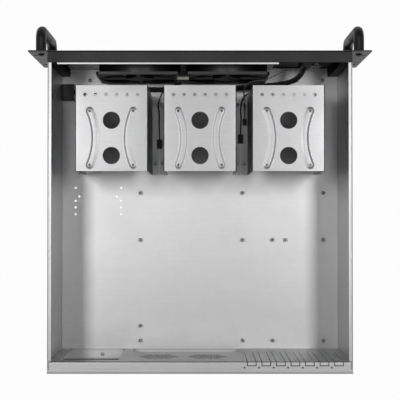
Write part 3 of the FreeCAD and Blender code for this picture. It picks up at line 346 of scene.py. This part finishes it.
def powderCoat():
    # polyester powder coat, baked, matt black: a fine orange peel that catches the light, and dust
    material, tree, shader, place = newFinish("matt black powder coat", "#111112", Roughness=0.52)
    peel = addNode(tree, "TexNoise", {"Scale": perMetre(coatMarks["peel"]), "Detail": 2.0},
                   {"Vector": place})
    dust = addNode(tree, "TexNoise", {"Scale": perMetre(coatMarks["dust"]), "Detail": 6.0},
                   {"Vector": place})
    tone = addNode(tree, "MapRange", spread, {"Value": dust.outputs["Fac"]})
    addNode(tree, "Mix", {6: linearColour("#0F0F10"), 7: linearColour("#151516")},
            {0: tone.outputs["Result"]},
            {2: shader.inputs["Base Color"]}, data_type="RGBA")
    addNode(tree, "MapRange", {**spread, "To Min": 0.46, "To Max": 0.6},
            {"Value": dust.outputs["Fac"]}, {"Result": shader.inputs["Roughness"]})
    addNode(tree, "Bump", {"Distance": 0.06 * mm, "Strength": 0.6}, {"Height": peel.outputs["Fac"]},
            {"Normal": shader.inputs["Normal"]})
    return material


def moulded(name, colour, light, roughness, grain, depth, refraction=1.52):
    # injection-moulded plastic, or enamel on rod, with the fine grain of its mould and a slight cloud
    material, tree, shader, place = newFinish(name, colour, Roughness=roughness, IOR=refraction)
    eroded = addNode(tree, "TexNoise", {"Scale": perMetre(grain), "Detail": 3.0}, {"Vector": place})
    cloud = addNode(tree, "TexNoise", {"Scale": perMetre(plasticMarks["cloud"]), "Detail": 4.0},
                    {"Vector": place})
    tone = addNode(tree, "MapRange", spread, {"Value": cloud.outputs["Fac"]})
    addNode(tree, "Mix", {6: linearColour(colour), 7: linearColour(light)}, {0: tone.outputs["Result"]},
            {2: shader.inputs["Base Color"]}, data_type="RGBA")
    addNode(tree, "MapRange", {**spread, "To Min": roughness - 0.05,
                               "To Max": roughness + 0.07},
            {"Value": cloud.outputs["Fac"]}, {"Result": shader.inputs["Roughness"]})
    addNode(tree, "Bump", {"Distance": depth * mm, "Strength": 0.5}, {"Height": eroded.outputs["Fac"]},
            {"Normal": shader.inputs["Normal"]})
    return material


def turnedMetal(name, dark, light, roughness, groove):
    # plated or turned metal: bright, with fine tool rings across its height and a thin uneven film
    material, tree, shader, place = newFinish(name, light, Metallic=1.0, Roughness=roughness)
    across = perMetre(metalMarks["across"])
    stretch = addNode(tree, "Mapping", {"Scale": (across, across, perMetre(groove))}, {"Vector": place})
    rings = addNode(tree, "TexNoise", {"Scale": 1.0, "Detail": 2.0}, {"Vector": stretch.outputs[0]})
    film = addNode(tree, "TexNoise", {"Scale": perMetre(metalMarks["film"]), "Detail": 3.0},
                   {"Vector": place})
    tone = addNode(tree, "MapRange", spread, {"Value": film.outputs["Fac"]})
    addNode(tree, "Mix", {6: linearColour(dark), 7: linearColour(light)}, {0: tone.outputs["Result"]},
            {2: shader.inputs["Base Color"]}, data_type="RGBA")
    addNode(tree, "MapRange", {**spread, "To Min": roughness - 0.06,
                               "To Max": roughness + 0.1},
            {"Value": rings.outputs["Fac"]}, {"Result": shader.inputs["Roughness"]})
    addNode(tree, "Bump", {"Distance": 0.01 * mm, "Strength": 0.4}, {"Height": rings.outputs["Fac"]},
            {"Normal": shader.inputs["Normal"]})
    return material


def circuitBoard():
    # FR-4 laminate under black solder mask: a glossy film, a shade lighter over its copper tracks
    material, tree, shader, place = newFinish("black solder mask on FR-4", "#101312", Roughness=0.3)
    tracks = addNode(tree, "TexBrick", {"Scale": perMetre(boardMarks["tracks"]), "Mortar Size": 0.04,
                                        "Color1": linearColour("#0F1211"),
                                        "Color2": linearColour("#131716"),
                                        "Mortar": linearColour("#232826")}, {"Vector": place},
                     {"Color": shader.inputs["Base Color"]})
    weave = addNode(tree, "TexNoise", {"Scale": perMetre(boardMarks["weave"])}, {"Vector": place})
    relief = addNode(tree, "Mix", {0: 0.4}, {2: weave.outputs["Fac"], 3: tracks.outputs["Fac"]})
    addNode(tree, "Bump", {"Distance": 0.012 * mm, "Strength": 0.5}, {"Height": relief.outputs[0]},
            {"Normal": shader.inputs["Normal"]})
    return material


def enamelledWinding():
    # enamelled copper wire wound tight and dipped in dark varnish: fine parallel turns with a gloss
    material, tree, shader, place = newFinish("varnished copper winding", "#3A2A20", Metallic=0.6,
                                              Roughness=0.32)
    turns = addNode(tree, "TexWave",
                    {"Scale": perMetre(windingMarks["turns"]), "Distortion": 1.5, "Detail": 1.0},
                    {"Vector": place}, bands_direction="Y")
    addNode(tree, "Mix", {6: linearColour("#241B15"), 7: linearColour("#46352A")},
            {0: turns.outputs["Fac"]},
            {2: shader.inputs["Base Color"]}, data_type="RGBA")
    addNode(tree, "Bump", {"Distance": 0.15 * mm, "Strength": 0.8}, {"Height": turns.outputs["Fac"]},
            {"Normal": shader.inputs["Normal"]})
    return material


def clearLens():
    # clear polycarbonate light pipe, moulded: glossy outside, slightly milky inside
    material, tree, shader, place = newFinish("clear polycarbonate", "#8F9496", Roughness=0.14, IOR=1.58,
                                              Transmission_Weight=0.6)
    haze = addNode(tree, "TexNoise", {"Scale": perMetre(lensMarks["haze"])}, {"Vector": place})
    addNode(tree, "MapRange", {**spread, "To Min": 0.1, "To Max": 0.24},
            {"Value": haze.outputs["Fac"]}, {"Result": shader.inputs["Roughness"]})
    return material


def wireSleeve(name, colour, light, roughness):
    # soft PVC insulation, extruded over each wire: satin, faintly dragged, a little dusty
    material, tree, shader, place = newFinish(name, colour, Roughness=roughness, IOR=1.53)
    dust = addNode(tree, "TexNoise", {"Scale": perMetre(wireMarks["dust"]), "Detail": 5.0},
                   {"Vector": place})
    drag = addNode(tree, "TexNoise", {"Scale": perMetre(wireMarks["drag"]), "Detail": 2.0},
                   {"Vector": place})
    tone = addNode(tree, "MapRange", spread, {"Value": dust.outputs["Fac"]})
    addNode(tree, "Mix", {6: linearColour(colour), 7: linearColour(light)}, {0: tone.outputs["Result"]},
            {2: shader.inputs["Base Color"]}, data_type="RGBA")
    addNode(tree, "MapRange", {**spread, "To Min": roughness - 0.06,
                               "To Max": roughness + 0.1},
            {"Value": dust.outputs["Fac"]}, {"Result": shader.inputs["Roughness"]})
    addNode(tree, "Bump", {"Distance": 0.03 * mm, "Strength": 0.5}, {"Height": drag.outputs["Fac"]},
            {"Normal": shader.inputs["Normal"]})
    return material


traySteel = galvanisedSheet("galvanised tray sheet", "#BDBDBE", "#C7C7C8", 0.40, 0.46)
cageSteel = galvanisedSheet("galvanised cage sheet", "#A3A3A4", "#AEAEAF", 0.38, 0.44)
blackCoat = powderCoat()
gripEnamel = moulded("black epoxy enamel on steel rod", "#0A0A0B", "#0F0F10", 0.5, 2.2, 0.02, 1.46)
fanPlastic = moulded("glass-filled PBT, black", "#0C0C0D", "#121213", 0.42, 0.9, 0.03)
housingPlastic = moulded("black ABS", "#1B1B1D", "#232325", 0.48, 0.8, 0.03)
buttonPlastic = moulded("black polycarbonate", "#26262A", "#2C2C30", 0.22, 1.5, 0.01, 1.58)
plugPlastic = moulded("black nylon 66", "#19191A", "#202021", 0.44, 0.8, 0.02)
whitePlastic = moulded("natural nylon 66", "#A6A59F", "#B4B3AD", 0.42, 0.9, 0.02)
brassTurned = turnedMetal("nickel-plated brass", "#8A8986", "#A3A29F", 0.3, 0.35)
zincPlated = turnedMetal("bright zinc-plated steel", "#A7A9AB", "#BFC1C2", 0.28, 0.4)
solderTin = turnedMetal("tin solder", "#97989A", "#B0B1B2", 0.3, 0.5)
blackOxide = turnedMetal("black-oxide steel", "#1C1C1D", "#2A2A2B", 0.38, 0.4)
shellPlated = turnedMetal("nickel-plated steel shell", "#A9AAAA", "#BCBCBB", 0.24, 0.8)
boardBlack = circuitBoard()
winding = enamelledWinding()
lens = clearLens()
blackSleeve = wireSleeve("black PVC insulation", "#111112", "#1A1A1B", 0.42)
greySleeve = wireSleeve("grey PVC insulation", "#6E6F70", "#808182", 0.45)

nodeFinish = {
    "front_panel": blackCoat, "corner_post_left": blackCoat, "corner_post_right": blackCoat,
    "base_tray": traySteel, "rear_panel": traySteel, "fan_bracket": traySteel,
    "fan_frame_left": fanPlastic, "fan_frame_right": fanPlastic,
    "fan_rotor_left": fanPlastic, "fan_rotor_right": fanPlastic,
    "fan_stator_left": winding, "fan_stator_right": winding,
    "control_housing": housingPlastic, "power_button": buttonPlastic, "reset_button": buttonPlastic,
    "status_lights": lens, "usb_board": boardBlack, "usb_shells": shellPlated,
    "usb_tongues": whitePlastic, "usb_spacers": whitePlastic, "cable_clip": whitePlastic,
}
for name, finish in nodeFinish.items():
    for materialSlot in nodes[name].material_slots:
        materialSlot.material = finish
print("finishes assigned:", len(nodeFinish), "nodes")

# millimetres; collarEnds are the collar's points as shares of its length
grip = {"bend": 13.5, "collarRadius": 8.3, "collarRound": 0.6, "collarLength": 3.0,
        "collarEnds": (0.0, 0.5, 1.0, 1.6), "barSteps": 12, "bendSteps": 22, "columns": 40}


def makeGrip(name):
    # a rod carried along two straight arms and two quarter circles; the arms widen into collars
    # where they meet the panel
    low, high = boxOf(name)
    radius = (high[0] - low[0]) / 2
    face, barY = high[1], low[1] + radius
    lowArm, highArm = low[2] + radius, high[2] - radius
    bend = grip["bend"] * mm
    turn = np.linspace(0, np.pi / 2, grip["bendSteps"])
    armY = face - np.array(grip["collarEnds"]) * grip["collarLength"] * mm
    firstArc = np.stack([barY + bend * (1 - np.sin(turn)), lowArm + bend * (1 - np.cos(turn))], axis=1)
    bar = np.linspace(lowArm + bend, highArm - bend, grip["barSteps"])[1:-1]
    line = np.concatenate([np.stack([armY, np.full_like(armY, lowArm)], axis=1), firstArc,
                           np.stack([np.full(len(bar), barY), bar], axis=1)])
    mirrored = np.stack([firstArc[::-1, 0], lowArm + highArm - firstArc[::-1, 1]], axis=1)
    line = np.concatenate([line, mirrored, np.stack([armY[::-1], np.full_like(armY, highArm)], axis=1)])
    path = np.column_stack([np.full(len(line), (low[0] + high[0]) / 2), line])
    wide = grip["collarRadius"]
    collar = np.array([wide, wide, wide - grip["collarRound"], radius / mm]) * mm
    sizes = np.concatenate([collar, np.full(len(path) - 2 * len(collar), radius), collar[::-1]])
    tube = ringAlong(path, (1.0, 0.0, 0.0), sizes, grip["columns"])
    piece = meshFromGrids(name.replace("handle", "grip"), tube[None])
    sharpEdges(piece, 40)
    dress(piece, gripEnamel, replaced=[name])


makeGrip("handle_left")
makeGrip("handle_right")
print("grips made")

# millimetres; the arcs run through the drive holes and bow towards the middle of each cage
bead = {"hands": ("left", "middle", "right"), "band": 1.0, "holeX": 30.86, "firstHole": 36.4,
        "pitchY": 76.6, "bulge": 8.0, "halfWidth": 6.5, "plateau": 1.9, "rise": 0.95, "skirt": 0.03,
        "hole": 1.8, "cell": 0.55, "sheet": 0.3, "seat": -0.1}


def makeCages():
    # each cage is its own solid merged, with the square-sided band of the solid let down to a seat
    # just under the top; the ribs that follow lie in that seat with the soft slopes of a pressing
    for hand in bead["hands"]:
        node = f"drive_cage_{hand}"
        spots, faces = mergedSolid(node)
        top = boxOf(node)[1][2] - bead["band"] * mm
        spots[spots[:, 2] > top + bead["band"] / 2 * mm, 2] = top + bead["seat"] * mm
        sheet = bpy.data.meshes.new(f"driveCage{hand.capitalize()}")
        sheet.from_pydata(spots.tolist(), [], faces.tolist())
        piece = bpy.data.objects.new(sheet.name, sheet)
        scene.collection.objects.link(piece)
        sheet.polygons.foreach_set("use_smooth", np.ones(len(sheet.polygons), dtype=bool))
        sharpEdges(piece, 20)
        dress(piece, cageSteel, replaced=[node])


def makeBeads():
    # a pressed rib along each arc: the height depends on the distance to the arc alone, full up to
    # the plateau and from there a smooth step down to the skirt; the grid runs along and across the
    # arc, its ends are drawn onto half circles, and cells inside a drive hole are left out
    half, width = bead["pitchY"] / 2, bead["halfWidth"]
    radius = (half ** 2 + bead["bulge"] ** 2) / (2 * bead["bulge"])
    reach = radius * math.asin(half / radius)
    rows, columns = int(2 * (reach + width) / bead["cell"]), int(2 * width / bead["cell"]) + 1
    along, across = np.meshgrid(np.linspace(-reach - width, reach + width, rows),
                                np.linspace(-width, width, columns), indexing="ij")
    hole = np.sign(along) * reach
    past = np.where(np.abs(along) > reach, along - hole, 0.0)
    shrink = np.minimum(width / np.maximum(np.hypot(past, across), 1e-6), 1.0)
    outside = shrink < 1.0
    along, across = along - past + past * shrink, across * shrink
    near = np.hypot(along - hole, across)
    inside = near < bead["hole"]
    grow = np.where(inside, bead["hole"] / np.maximum(near, 1e-6), 1.0)
    along, across = hole + (along - hole) * grow, across * grow
    distance = np.hypot(np.maximum(np.abs(along) - reach, 0.0), across)
    step = np.clip((distance - bead["plateau"]) / (width - bead["plateau"]), 0.0, 1.0)
    lift = bead["skirt"] + (bead["rise"] - bead["skirt"]) * (1.0 - step * step * (3.0 - 2.0 * step))
    number = np.arange(rows * columns).reshape(rows, columns)
    cells = np.stack([number[:-1, :-1], number[1:, :-1], number[1:, 1:], number[:-1, 1:]], axis=-1)
    cells = cells.reshape(-1, 4)
    kept = cells[~(outside.ravel()[cells].all(axis=1) | inside.ravel()[cells].all(axis=1))]
    used, kept = np.unique(kept, return_inverse=True)
    kept = kept.reshape(-1, 4)
    spots, faces = [], []
    for hand in bead["hands"]:
        low, high = (corner / mm for corner in boxOf(f"drive_cage_{hand}"))
        for side in (-1, 1):
            centre = (low[0] + high[0]) / 2 + side * (bead["holeX"] + radius - bead["bulge"])
            x = centre - side * (radius + across) * np.cos(along / radius)
            y = low[1] + bead["firstHole"] + half + (radius + across) * np.sin(along / radius)
            z = high[2] - bead["band"] + lift
            spots.append(np.column_stack([x.ravel()[used], y.ravel()[used], z.ravel()[used]]) * mm)
            faces.append((kept[:, ::side]) + len(used) * len(faces))
    sheet = bpy.data.meshes.new("cageBeads")
    sheet.from_pydata(np.concatenate(spots).tolist(), [], np.concatenate(faces).tolist())
    piece = bpy.data.objects.new("cageBeads", sheet)
    scene.collection.objects.link(piece)
    wall = piece.modifiers.new("sheet", "SOLIDIFY")
    wall.thickness, wall.offset = bead["sheet"] * mm, -1.0
    solid = bpy.data.meshes.new_from_object(piece.evaluated_get(bpy.context.evaluated_depsgraph_get()))
    piece.modifiers.clear()
    piece.data = solid
    solid.polygons.foreach_set("use_smooth", np.ones(len(solid.polygons), dtype=bool))
    sharpEdges(piece, 50)
    dress(piece, cageSteel)


makeCages()
makeBeads()
print("cages and their beads made")

# radii, heights and widths in millimetres; recess is the reach of the cross
panHead = {"head": 2.8, "height": 1.6, "shank": 1.45, "recess": 1.7, "recessDepth": 0.95,
           "recessWidth": 0.42, "columns": 32}
gripHead = {"head": 4.5, "height": 3.0, "shank": 2.4, "recess": 2.6, "recessDepth": 1.5,
            "recessWidth": 0.65, "columns": 32}
# shares of the head's radius or height, of the recess or of the shank
screwForm = {"domeFall": 0.42, "domePower": 2.6, "domeStart": 1.12, "domeEdge": 0.93, "armWidth": 1.35,
             "armSlope": 0.5, "armEnd": 0.28, "rim": 0.45, "chamfer": 0.97, "tip": 0.86, "tipWidth": 0.8}


def screwShape(size, length):
    # a profile turned about Z: domed head, side, bearing face, shank and point; the dome falls with
    # a power of the radius, and it is lowered inside a cross whose walls slope like those of a
    # cross recess: the depth falls off across each arm and at its end
    form, reach, head = screwForm, size["recess"], size["head"]
    turn = np.linspace(0, 2 * np.pi, size["columns"], endpoint=False)
    across = np.concatenate([np.linspace(0.02, reach, 9),
                             np.linspace(reach * form["domeStart"], head * form["domeEdge"], 5)])
    dome = size["height"] * (1 - form["domeFall"] * (across / head) ** form["domePower"])
    x, y = across[:, None] * np.cos(turn), across[:, None] * np.sin(turn)
    nearArm = np.minimum(np.abs(x), np.abs(y))
    width = size["recessWidth"]
    inArm = np.clip((width * form["armWidth"] - nearArm) / (width * form["armSlope"]), 0, 1)
    inReach = np.clip((reach - across[:, None]) / (reach * form["armEnd"]), 0, 1)
    height = dome[:, None] - size["recessDepth"] * inArm * inReach
    top = np.stack([x, y, height], axis=-1)
    shank = size["shank"]
    below = np.array([[head, size["height"] * form["rim"]], [head, 0.02], [head * form["chamfer"], 0.0],
                      [shank, 0.0], [shank, -length * form["tip"]], [shank * form["tipWidth"], -length]])
    ring = np.stack([below[:, 0, None] * np.cos(turn), below[:, 0, None] * np.sin(turn),
                     np.broadcast_to(below[:, 1, None], (len(below), len(turn)))], axis=-1)
    return np.concatenate([top, ring]) * mm


turnStep = 2.399  # radians; each shape of a group is turned this much further than the last


def placeShapes(shape, places, directions):
    # the shape's own Z turned to each direction, and each copy turned a step further about it
    directions = np.asarray(directions, dtype=float)
    guide = np.where(np.abs(directions[:, 2:3]) > 0.9, [[1.0, 0.0, 0.0]], [[0.0, 0.0, 1.0]])
    side = np.cross(guide, directions)
    side /= np.linalg.norm(side, axis=1, keepdims=True)
    lift = np.cross(directions, side)
    spin = np.arange(len(directions)) * turnStep
    first = side * np.cos(spin)[:, None] + lift * np.sin(spin)[:, None]
    second = np.cross(directions, first)
    turned = (shape[..., 0:1] * first[:, None, None] + shape[..., 1:2] * second[:, None, None]
              + shape[..., 2:3] * directions[:, None, None])
    return np.asarray(places)[:, None, None] + turned


def looseParts(name):
    # lowest and highest corner of each separate solid of a node: every corner takes the lowest
    # number that a face brings it, until none changes
    spots, faces = mergedSolid(name)
    group, before = np.arange(len(spots)), None
    while before is None or (group != before).any():
        before = group.copy()
        lowest = group[faces].min(axis=1)
        for corner in faces.T:
            np.minimum.at(group, corner, lowest)
        group = group[group]
    return [(spots[group == solid].min(axis=0), spots[group == solid].max(axis=0))
            for solid in np.unique(group)]


def makeScrews(name, size, towards, piece, finish):
    # each screw keeps its solid's own place and length; towards gives the head's direction
    parts = looseParts(name)
    grids = []
    for low, high in parts:
        centre = (low + high) / 2
        way = np.array(towards(centre), dtype=float)
        axis = int(np.argmax(np.abs(way)))
        length = (high[axis] - low[axis]) / mm - size["height"]
        seat = centre.copy()
        seat[axis] = (high[axis] if way[axis] > 0 else low[axis]) - way[axis] * size["height"] * mm
        grids.append(placeShapes(screwShape(size, length), [seat], [way])[0])
    made = meshFromGrids(piece, np.array(grids))
    sharpEdges(made, 32)
    dress(made, finish, replaced=[name])


makeScrews("handle_screws", gripHead, lambda spot: (0, 1, 0), "gripScrews", blackOxide)
makeScrews("fan_screws", panHead, lambda spot: (0, -1, 0), "fanScrews", zincPlated)
makeScrews("cage_screws", panHead, lambda spot: (0, 0, 1), "cageScrews", zincPlated)
makeScrews("floor_screws", panHead, lambda spot: (0, 0, 1), "floorScrews", zincPlated)
makeScrews("side_screws", panHead, lambda spot: (np.sign(spot[0]), 0, 0), "sideScrews", zincPlated)

# millimetres; chamfer is a share of the flats, and mouth is the radius of the hole's countersink
post = {"flats": 5.2, "collar": 6.0, "collarHeight": 1.0, "thread": 2.5, "threadRise": 0.12,
        "threadDepth": 5.5, "pitch": 0.5, "lead": 0.25, "mouth": 1.6, "chamfer": 0.93, "columns": 48}


def makePosts(name, piece):
    # hexagonal posts on a round collar, with a chamfered top and a threaded hole
    turn = np.linspace(0, 2 * np.pi, post["columns"], endpoint=False)
    hexagon = post["flats"] / 2 / np.cos((turn + np.pi / 6) % (np.pi / 3) - np.pi / 6)
    circle = np.ones_like(turn)
    grids = []
    for low, high in looseParts(name):
        height = (high[2] - low[2]) / mm
        down = np.arange(0, post["threadDepth"], post["pitch"] / 2)[::-1]
        thread = post["thread"] / 2 + post["threadRise"] * (np.arange(len(down)) % 2)
        rows = [(0.05 * circle, height - post["threadDepth"] - 0.3)]
        rows += [(radius * circle, height - depth - post["lead"]) for radius, depth in zip(thread, down)]
        rows += [(post["mouth"] * circle, height),
                 (post["flats"] / 2 * post["chamfer"] * circle, height),
                 (hexagon * 0.995, height - 0.35), (hexagon, height - 0.5),
                 (hexagon, post["collarHeight"] + 0.1),
                 (post["collar"] / 2 * circle, post["collarHeight"]), (post["collar"] / 2 * circle, 0.0)]
        ring = np.array([np.stack([r * np.cos(turn), r * np.sin(turn), np.full_like(turn, z)], axis=-1)
                         for r, z in rows]) * mm
        grids.append(ring + np.array([(low[0] + high[0]) / 2, (low[1] + high[1]) / 2, low[2]]))
    made = meshFromGrids(piece, np.array(grids))
    sharpEdges(made, 25)
    dress(made, brassTurned, replaced=[name])


makePosts("standoffs", "boardPosts")

# millimetres; the ports' pins come through the rear face of their board, measured here from its
# corner with the lowest X and Z
solder = {"x": (3.2, 5.7, 8.1, 10.6), "z": (18.3, 20.9, 33.7, 36.3, 40.1), "pad": 0.85, "pin": 0.32,
          "height": 1.3, "rows": 7, "columns": 16}


def makeSolder():
    # a hollow-sided cone of solder round each pin: the radius falls from pad to pin as the cube of
    # the height that is left
    rise = np.linspace(0, 1, solder["rows"])
    radius = solder["pin"] + (solder["pad"] - solder["pin"]) * (1 - rise) ** 3
    turn = np.linspace(0, 2 * np.pi, solder["columns"], endpoint=False)
    cone = np.stack([radius[:, None] * np.cos(turn), radius[:, None] * np.sin(turn),
                     np.broadcast_to(rise[:, None] * solder["height"], (len(rise), len(turn)))],
                    axis=-1) * mm
    low, high = boxOf("usb_board")
    x, z = np.meshgrid(solder["x"], solder["z"])
    places = np.stack([low[0] + x.ravel() * mm, np.full(x.size, high[1]), low[2] + z.ravel() * mm],
                      axis=1)
    made = meshFromGrids("portSolder", placeShapes(cone, places, np.tile([0.0, 1.0, 0.0], (x.size, 1))))
    sharpEdges(made, 50)
    dress(made, solderTin)


makeSolder()
print("screws, posts and solder made")

# control points in millimetres, from where each lead leaves its housing to its plug
frontLead = {"route": [(-153.6, 10.4, 6.0), (-150.5, 18.7, 4.4), (-145.5, 25.5, 1.4), (-138.5, 30.3, -2.8),
                       (-129.4, 32.9, -8.3), (-115.8, 34.2, -18.3), (-98.5, 34.9, -31.0),
                       (-80.0, 34.3, -45.0), (-59.5, 34.8, -58.0), (-36.0, 34.2, -69.5),
                       (-9.5, 34.8, -77.4), (20.0, 34.0, -81.1), (53.0, 35.2, -81.3), (88.0, 34.4, -81.3),
                       (122.0, 36.0, -81.3), (151.0, 35.8, -81.0), (174.0, 38.5, -80.5),
                       (194.0, 38.5, -80.5)],
             "diameter": 8.0, "wires": 6, "wire": 2.6, "ring": 2.65, "core": 2.6, "lay": 70.0,
             "exit": (-153.0, 12.0, 5.7), "reference": (0.5, 0.0, 1.0),
             "node": "front_lead", "plug": "front_plug"}
fanLeadLeft = {"route": [(-94.0, 28.0, -44.0), (-94.0, 32.0, -44.0), (-93.2, 35.2, -45.2),
                         (-91.6, 37.8, -47.4), (-87.6, 40.0, -52.2), (-80.0, 41.8, -60.4),
                         (-70.6, 43.4, -69.5), (-64.5, 52.0, -78.0), (-62.2, 64.0, -83.1),
                         (-63.8, 79.0, -83.2), (-62.6, 93.0, -81.8), (-62.6, 104.0, -81.8)],
               "diameter": 2.4, "wires": 3, "wire": 1.1, "ring": 0.64, "core": 0.0, "lay": 18.0,
               "exit": None, "reference": (1.0, 0.0, 0.3), "node": "fan_lead_left",
               "plug": "fan_plug_left"}
fanLeadRight = {"route": [(36.0, 28.0, 38.0), (36.0, 32.0, 38.0), (35.3, 35.6, 36.5), (34.1, 38.3, 34.0),
                          (32.9, 39.7, 30.9), (31.2, 39.7, 26.2), (28.8, 38.0, 19.0), (28.0, 36.0, 10.0),
                          (32.5, 35.8, 0.0), (40.0, 36.5, -14.0), (49.0, 38.5, -29.0), (56.5, 43.0, -44.0),
                          (61.5, 51.0, -58.0), (64.0, 62.0, -70.0), (62.2, 75.0, -79.0),
                          (63.4, 88.0, -83.0), (62.3, 101.0, -81.8), (62.3, 112.0, -81.8)],
                "diameter": 2.4, "wires": 3, "wire": 1.1, "ring": 0.64, "core": 0.0, "lay": 18.0,
                "exit": None, "reference": (1.0, 0.3, 0.0), "node": "fan_lead_right",
                "plug": "fan_plug_right"}
signalLead = {"route": [(-150.1, 11.0, 24.0), (-148.8, 13.7, 24.0), (-146.7, 15.8, 23.7),
                        (-143.9, 17.1, 23.2), (-139.0, 17.7, 22.2), (-129.5, 17.4, 19.5),
                        (-119.5, 20.0, 16.0), (-108.5, 25.0, 11.0), (-98.0, 30.4, 7.0), (-85.0, 30.6, 3.0),
                        (-74.5, 32.2, -3.0), (-68.0, 35.8, -12.0), (-65.8, 41.0, -24.0),
                        (-66.5, 47.0, -38.0), (-67.0, 53.0, -52.0), (-68.2, 58.5, -65.0),
                        (-69.0, 64.0, -76.0), (-69.0, 72.0, -82.0), (-69.0, 80.0, -82.0)],
              "diameter": 2.2, "wires": 2, "wire": 1.1, "ring": 0.55, "core": 0.0, "lay": 13.0,
              "exit": (-149.6, 12.0, 24.0), "reference": (0.6, -0.5, 0.9),
              "node": "signal_lead", "plug": "signal_plug"}
# millimetres; firstRib is the share of a pitch before the first rib
plugShape = {"edge": 0.4, "ribs": 4, "ribPitch": 1.8, "firstRib": 0.6, "ribWidth": 1.0, "proud": 0.25}


def splinePath(route):
    # the smooth line of a NURBS spline through its control points' hull
    curve = bpy.data.curves.new("route", "CURVE")
    curve.dimensions = "3D"
    curve.resolution_u = 10
    spline = curve.splines.new("NURBS")
    spline.points.add(len(route) - 1)
    spline.points.foreach_set("co", np.column_stack([np.array(route) * mm, np.ones(len(route))]).ravel())
    spline.order_u = 3
    spline.use_endpoint_u = True
    holder = bpy.data.objects.new("route", curve)
    scene.collection.objects.link(holder)
    mesh = bpy.data.meshes.new_from_object(holder.evaluated_get(bpy.context.evaluated_depsgraph_get()))
    spots = np.empty(len(mesh.vertices) * 3)
    mesh.vertices.foreach_get("co", spots)
    bpy.data.objects.remove(holder)
    bpy.data.meshes.remove(mesh)
    bpy.data.curves.remove(curve)
    return spots.reshape(-1, 3)


def makePlug(lead):
    # a rounded housing with low ribs across its cable end for the fingers
    low, high = boxOf(lead["plug"])
    axis = int(np.argmax(np.abs(np.subtract(lead["route"][-1], lead["route"][-2]))))
    ribs = plugShape["ribs"]
    lows, highs = np.tile(low, (ribs + 1, 1)), np.tile(high, (ribs + 1, 1))
    start = low[axis] + (plugShape["firstRib"] + np.arange(ribs)) * plugShape["ribPitch"] * mm
    lows[1:, axis], highs[1:, axis] = start, start + plugShape["ribWidth"] * mm
    lows[1:, 1 - axis] -= plugShape["proud"] * mm
    highs[1:, [1 - axis, 2]] += plugShape["proud"] * mm
    boxes = roundedBoxes(lows, highs, plugShape["edge"] * mm)
    made = meshFromGrids(lead["plug"].replace("_", ""), boxes)
    sharpEdges(made, 50)
    return dress(made, plugPlastic, replaced=[lead["plug"]])


def makeLead(lead, material):
    # wires laid in a helix round the lead's line, and one along it where it has a core
    path = splinePath(lead["route"])
    _, side, lift = alongPath(path, lead["reference"])
    run = np.concatenate([[0.0], np.cumsum(np.linalg.norm(np.diff(path, axis=0), axis=1))])
    wires = []
    for i in range(lead["wires"]):
        turn = 2 * np.pi * (i / lead["wires"] + run / (lead["lay"] * mm))
        centre = path + (side * np.cos(turn)[:, None] + lift * np.sin(turn)[:, None]) * lead["ring"] * mm
        wires.append(ringAlong(centre, lead["reference"], lead["wire"] / 2 * mm, 12))
    if lead["core"]:
        wires.append(ringAlong(path, lead["reference"], lead["core"] / 2 * mm, 12))
    piece = meshFromGrids(lead["node"].replace("_", "") + "Wires", np.array(wires))
    dress(piece, material, replaced=[lead["node"]])
    makePlug(lead)
    print(f"{lead['node']}: {run[-1] / mm:.0f} mm")


makeLead(frontLead, blackSleeve)
makeLead(fanLeadLeft, blackSleeve)
makeLead(fanLeadRight, blackSleeve)
makeLead(signalLead, greySleeve)
print("leads made")
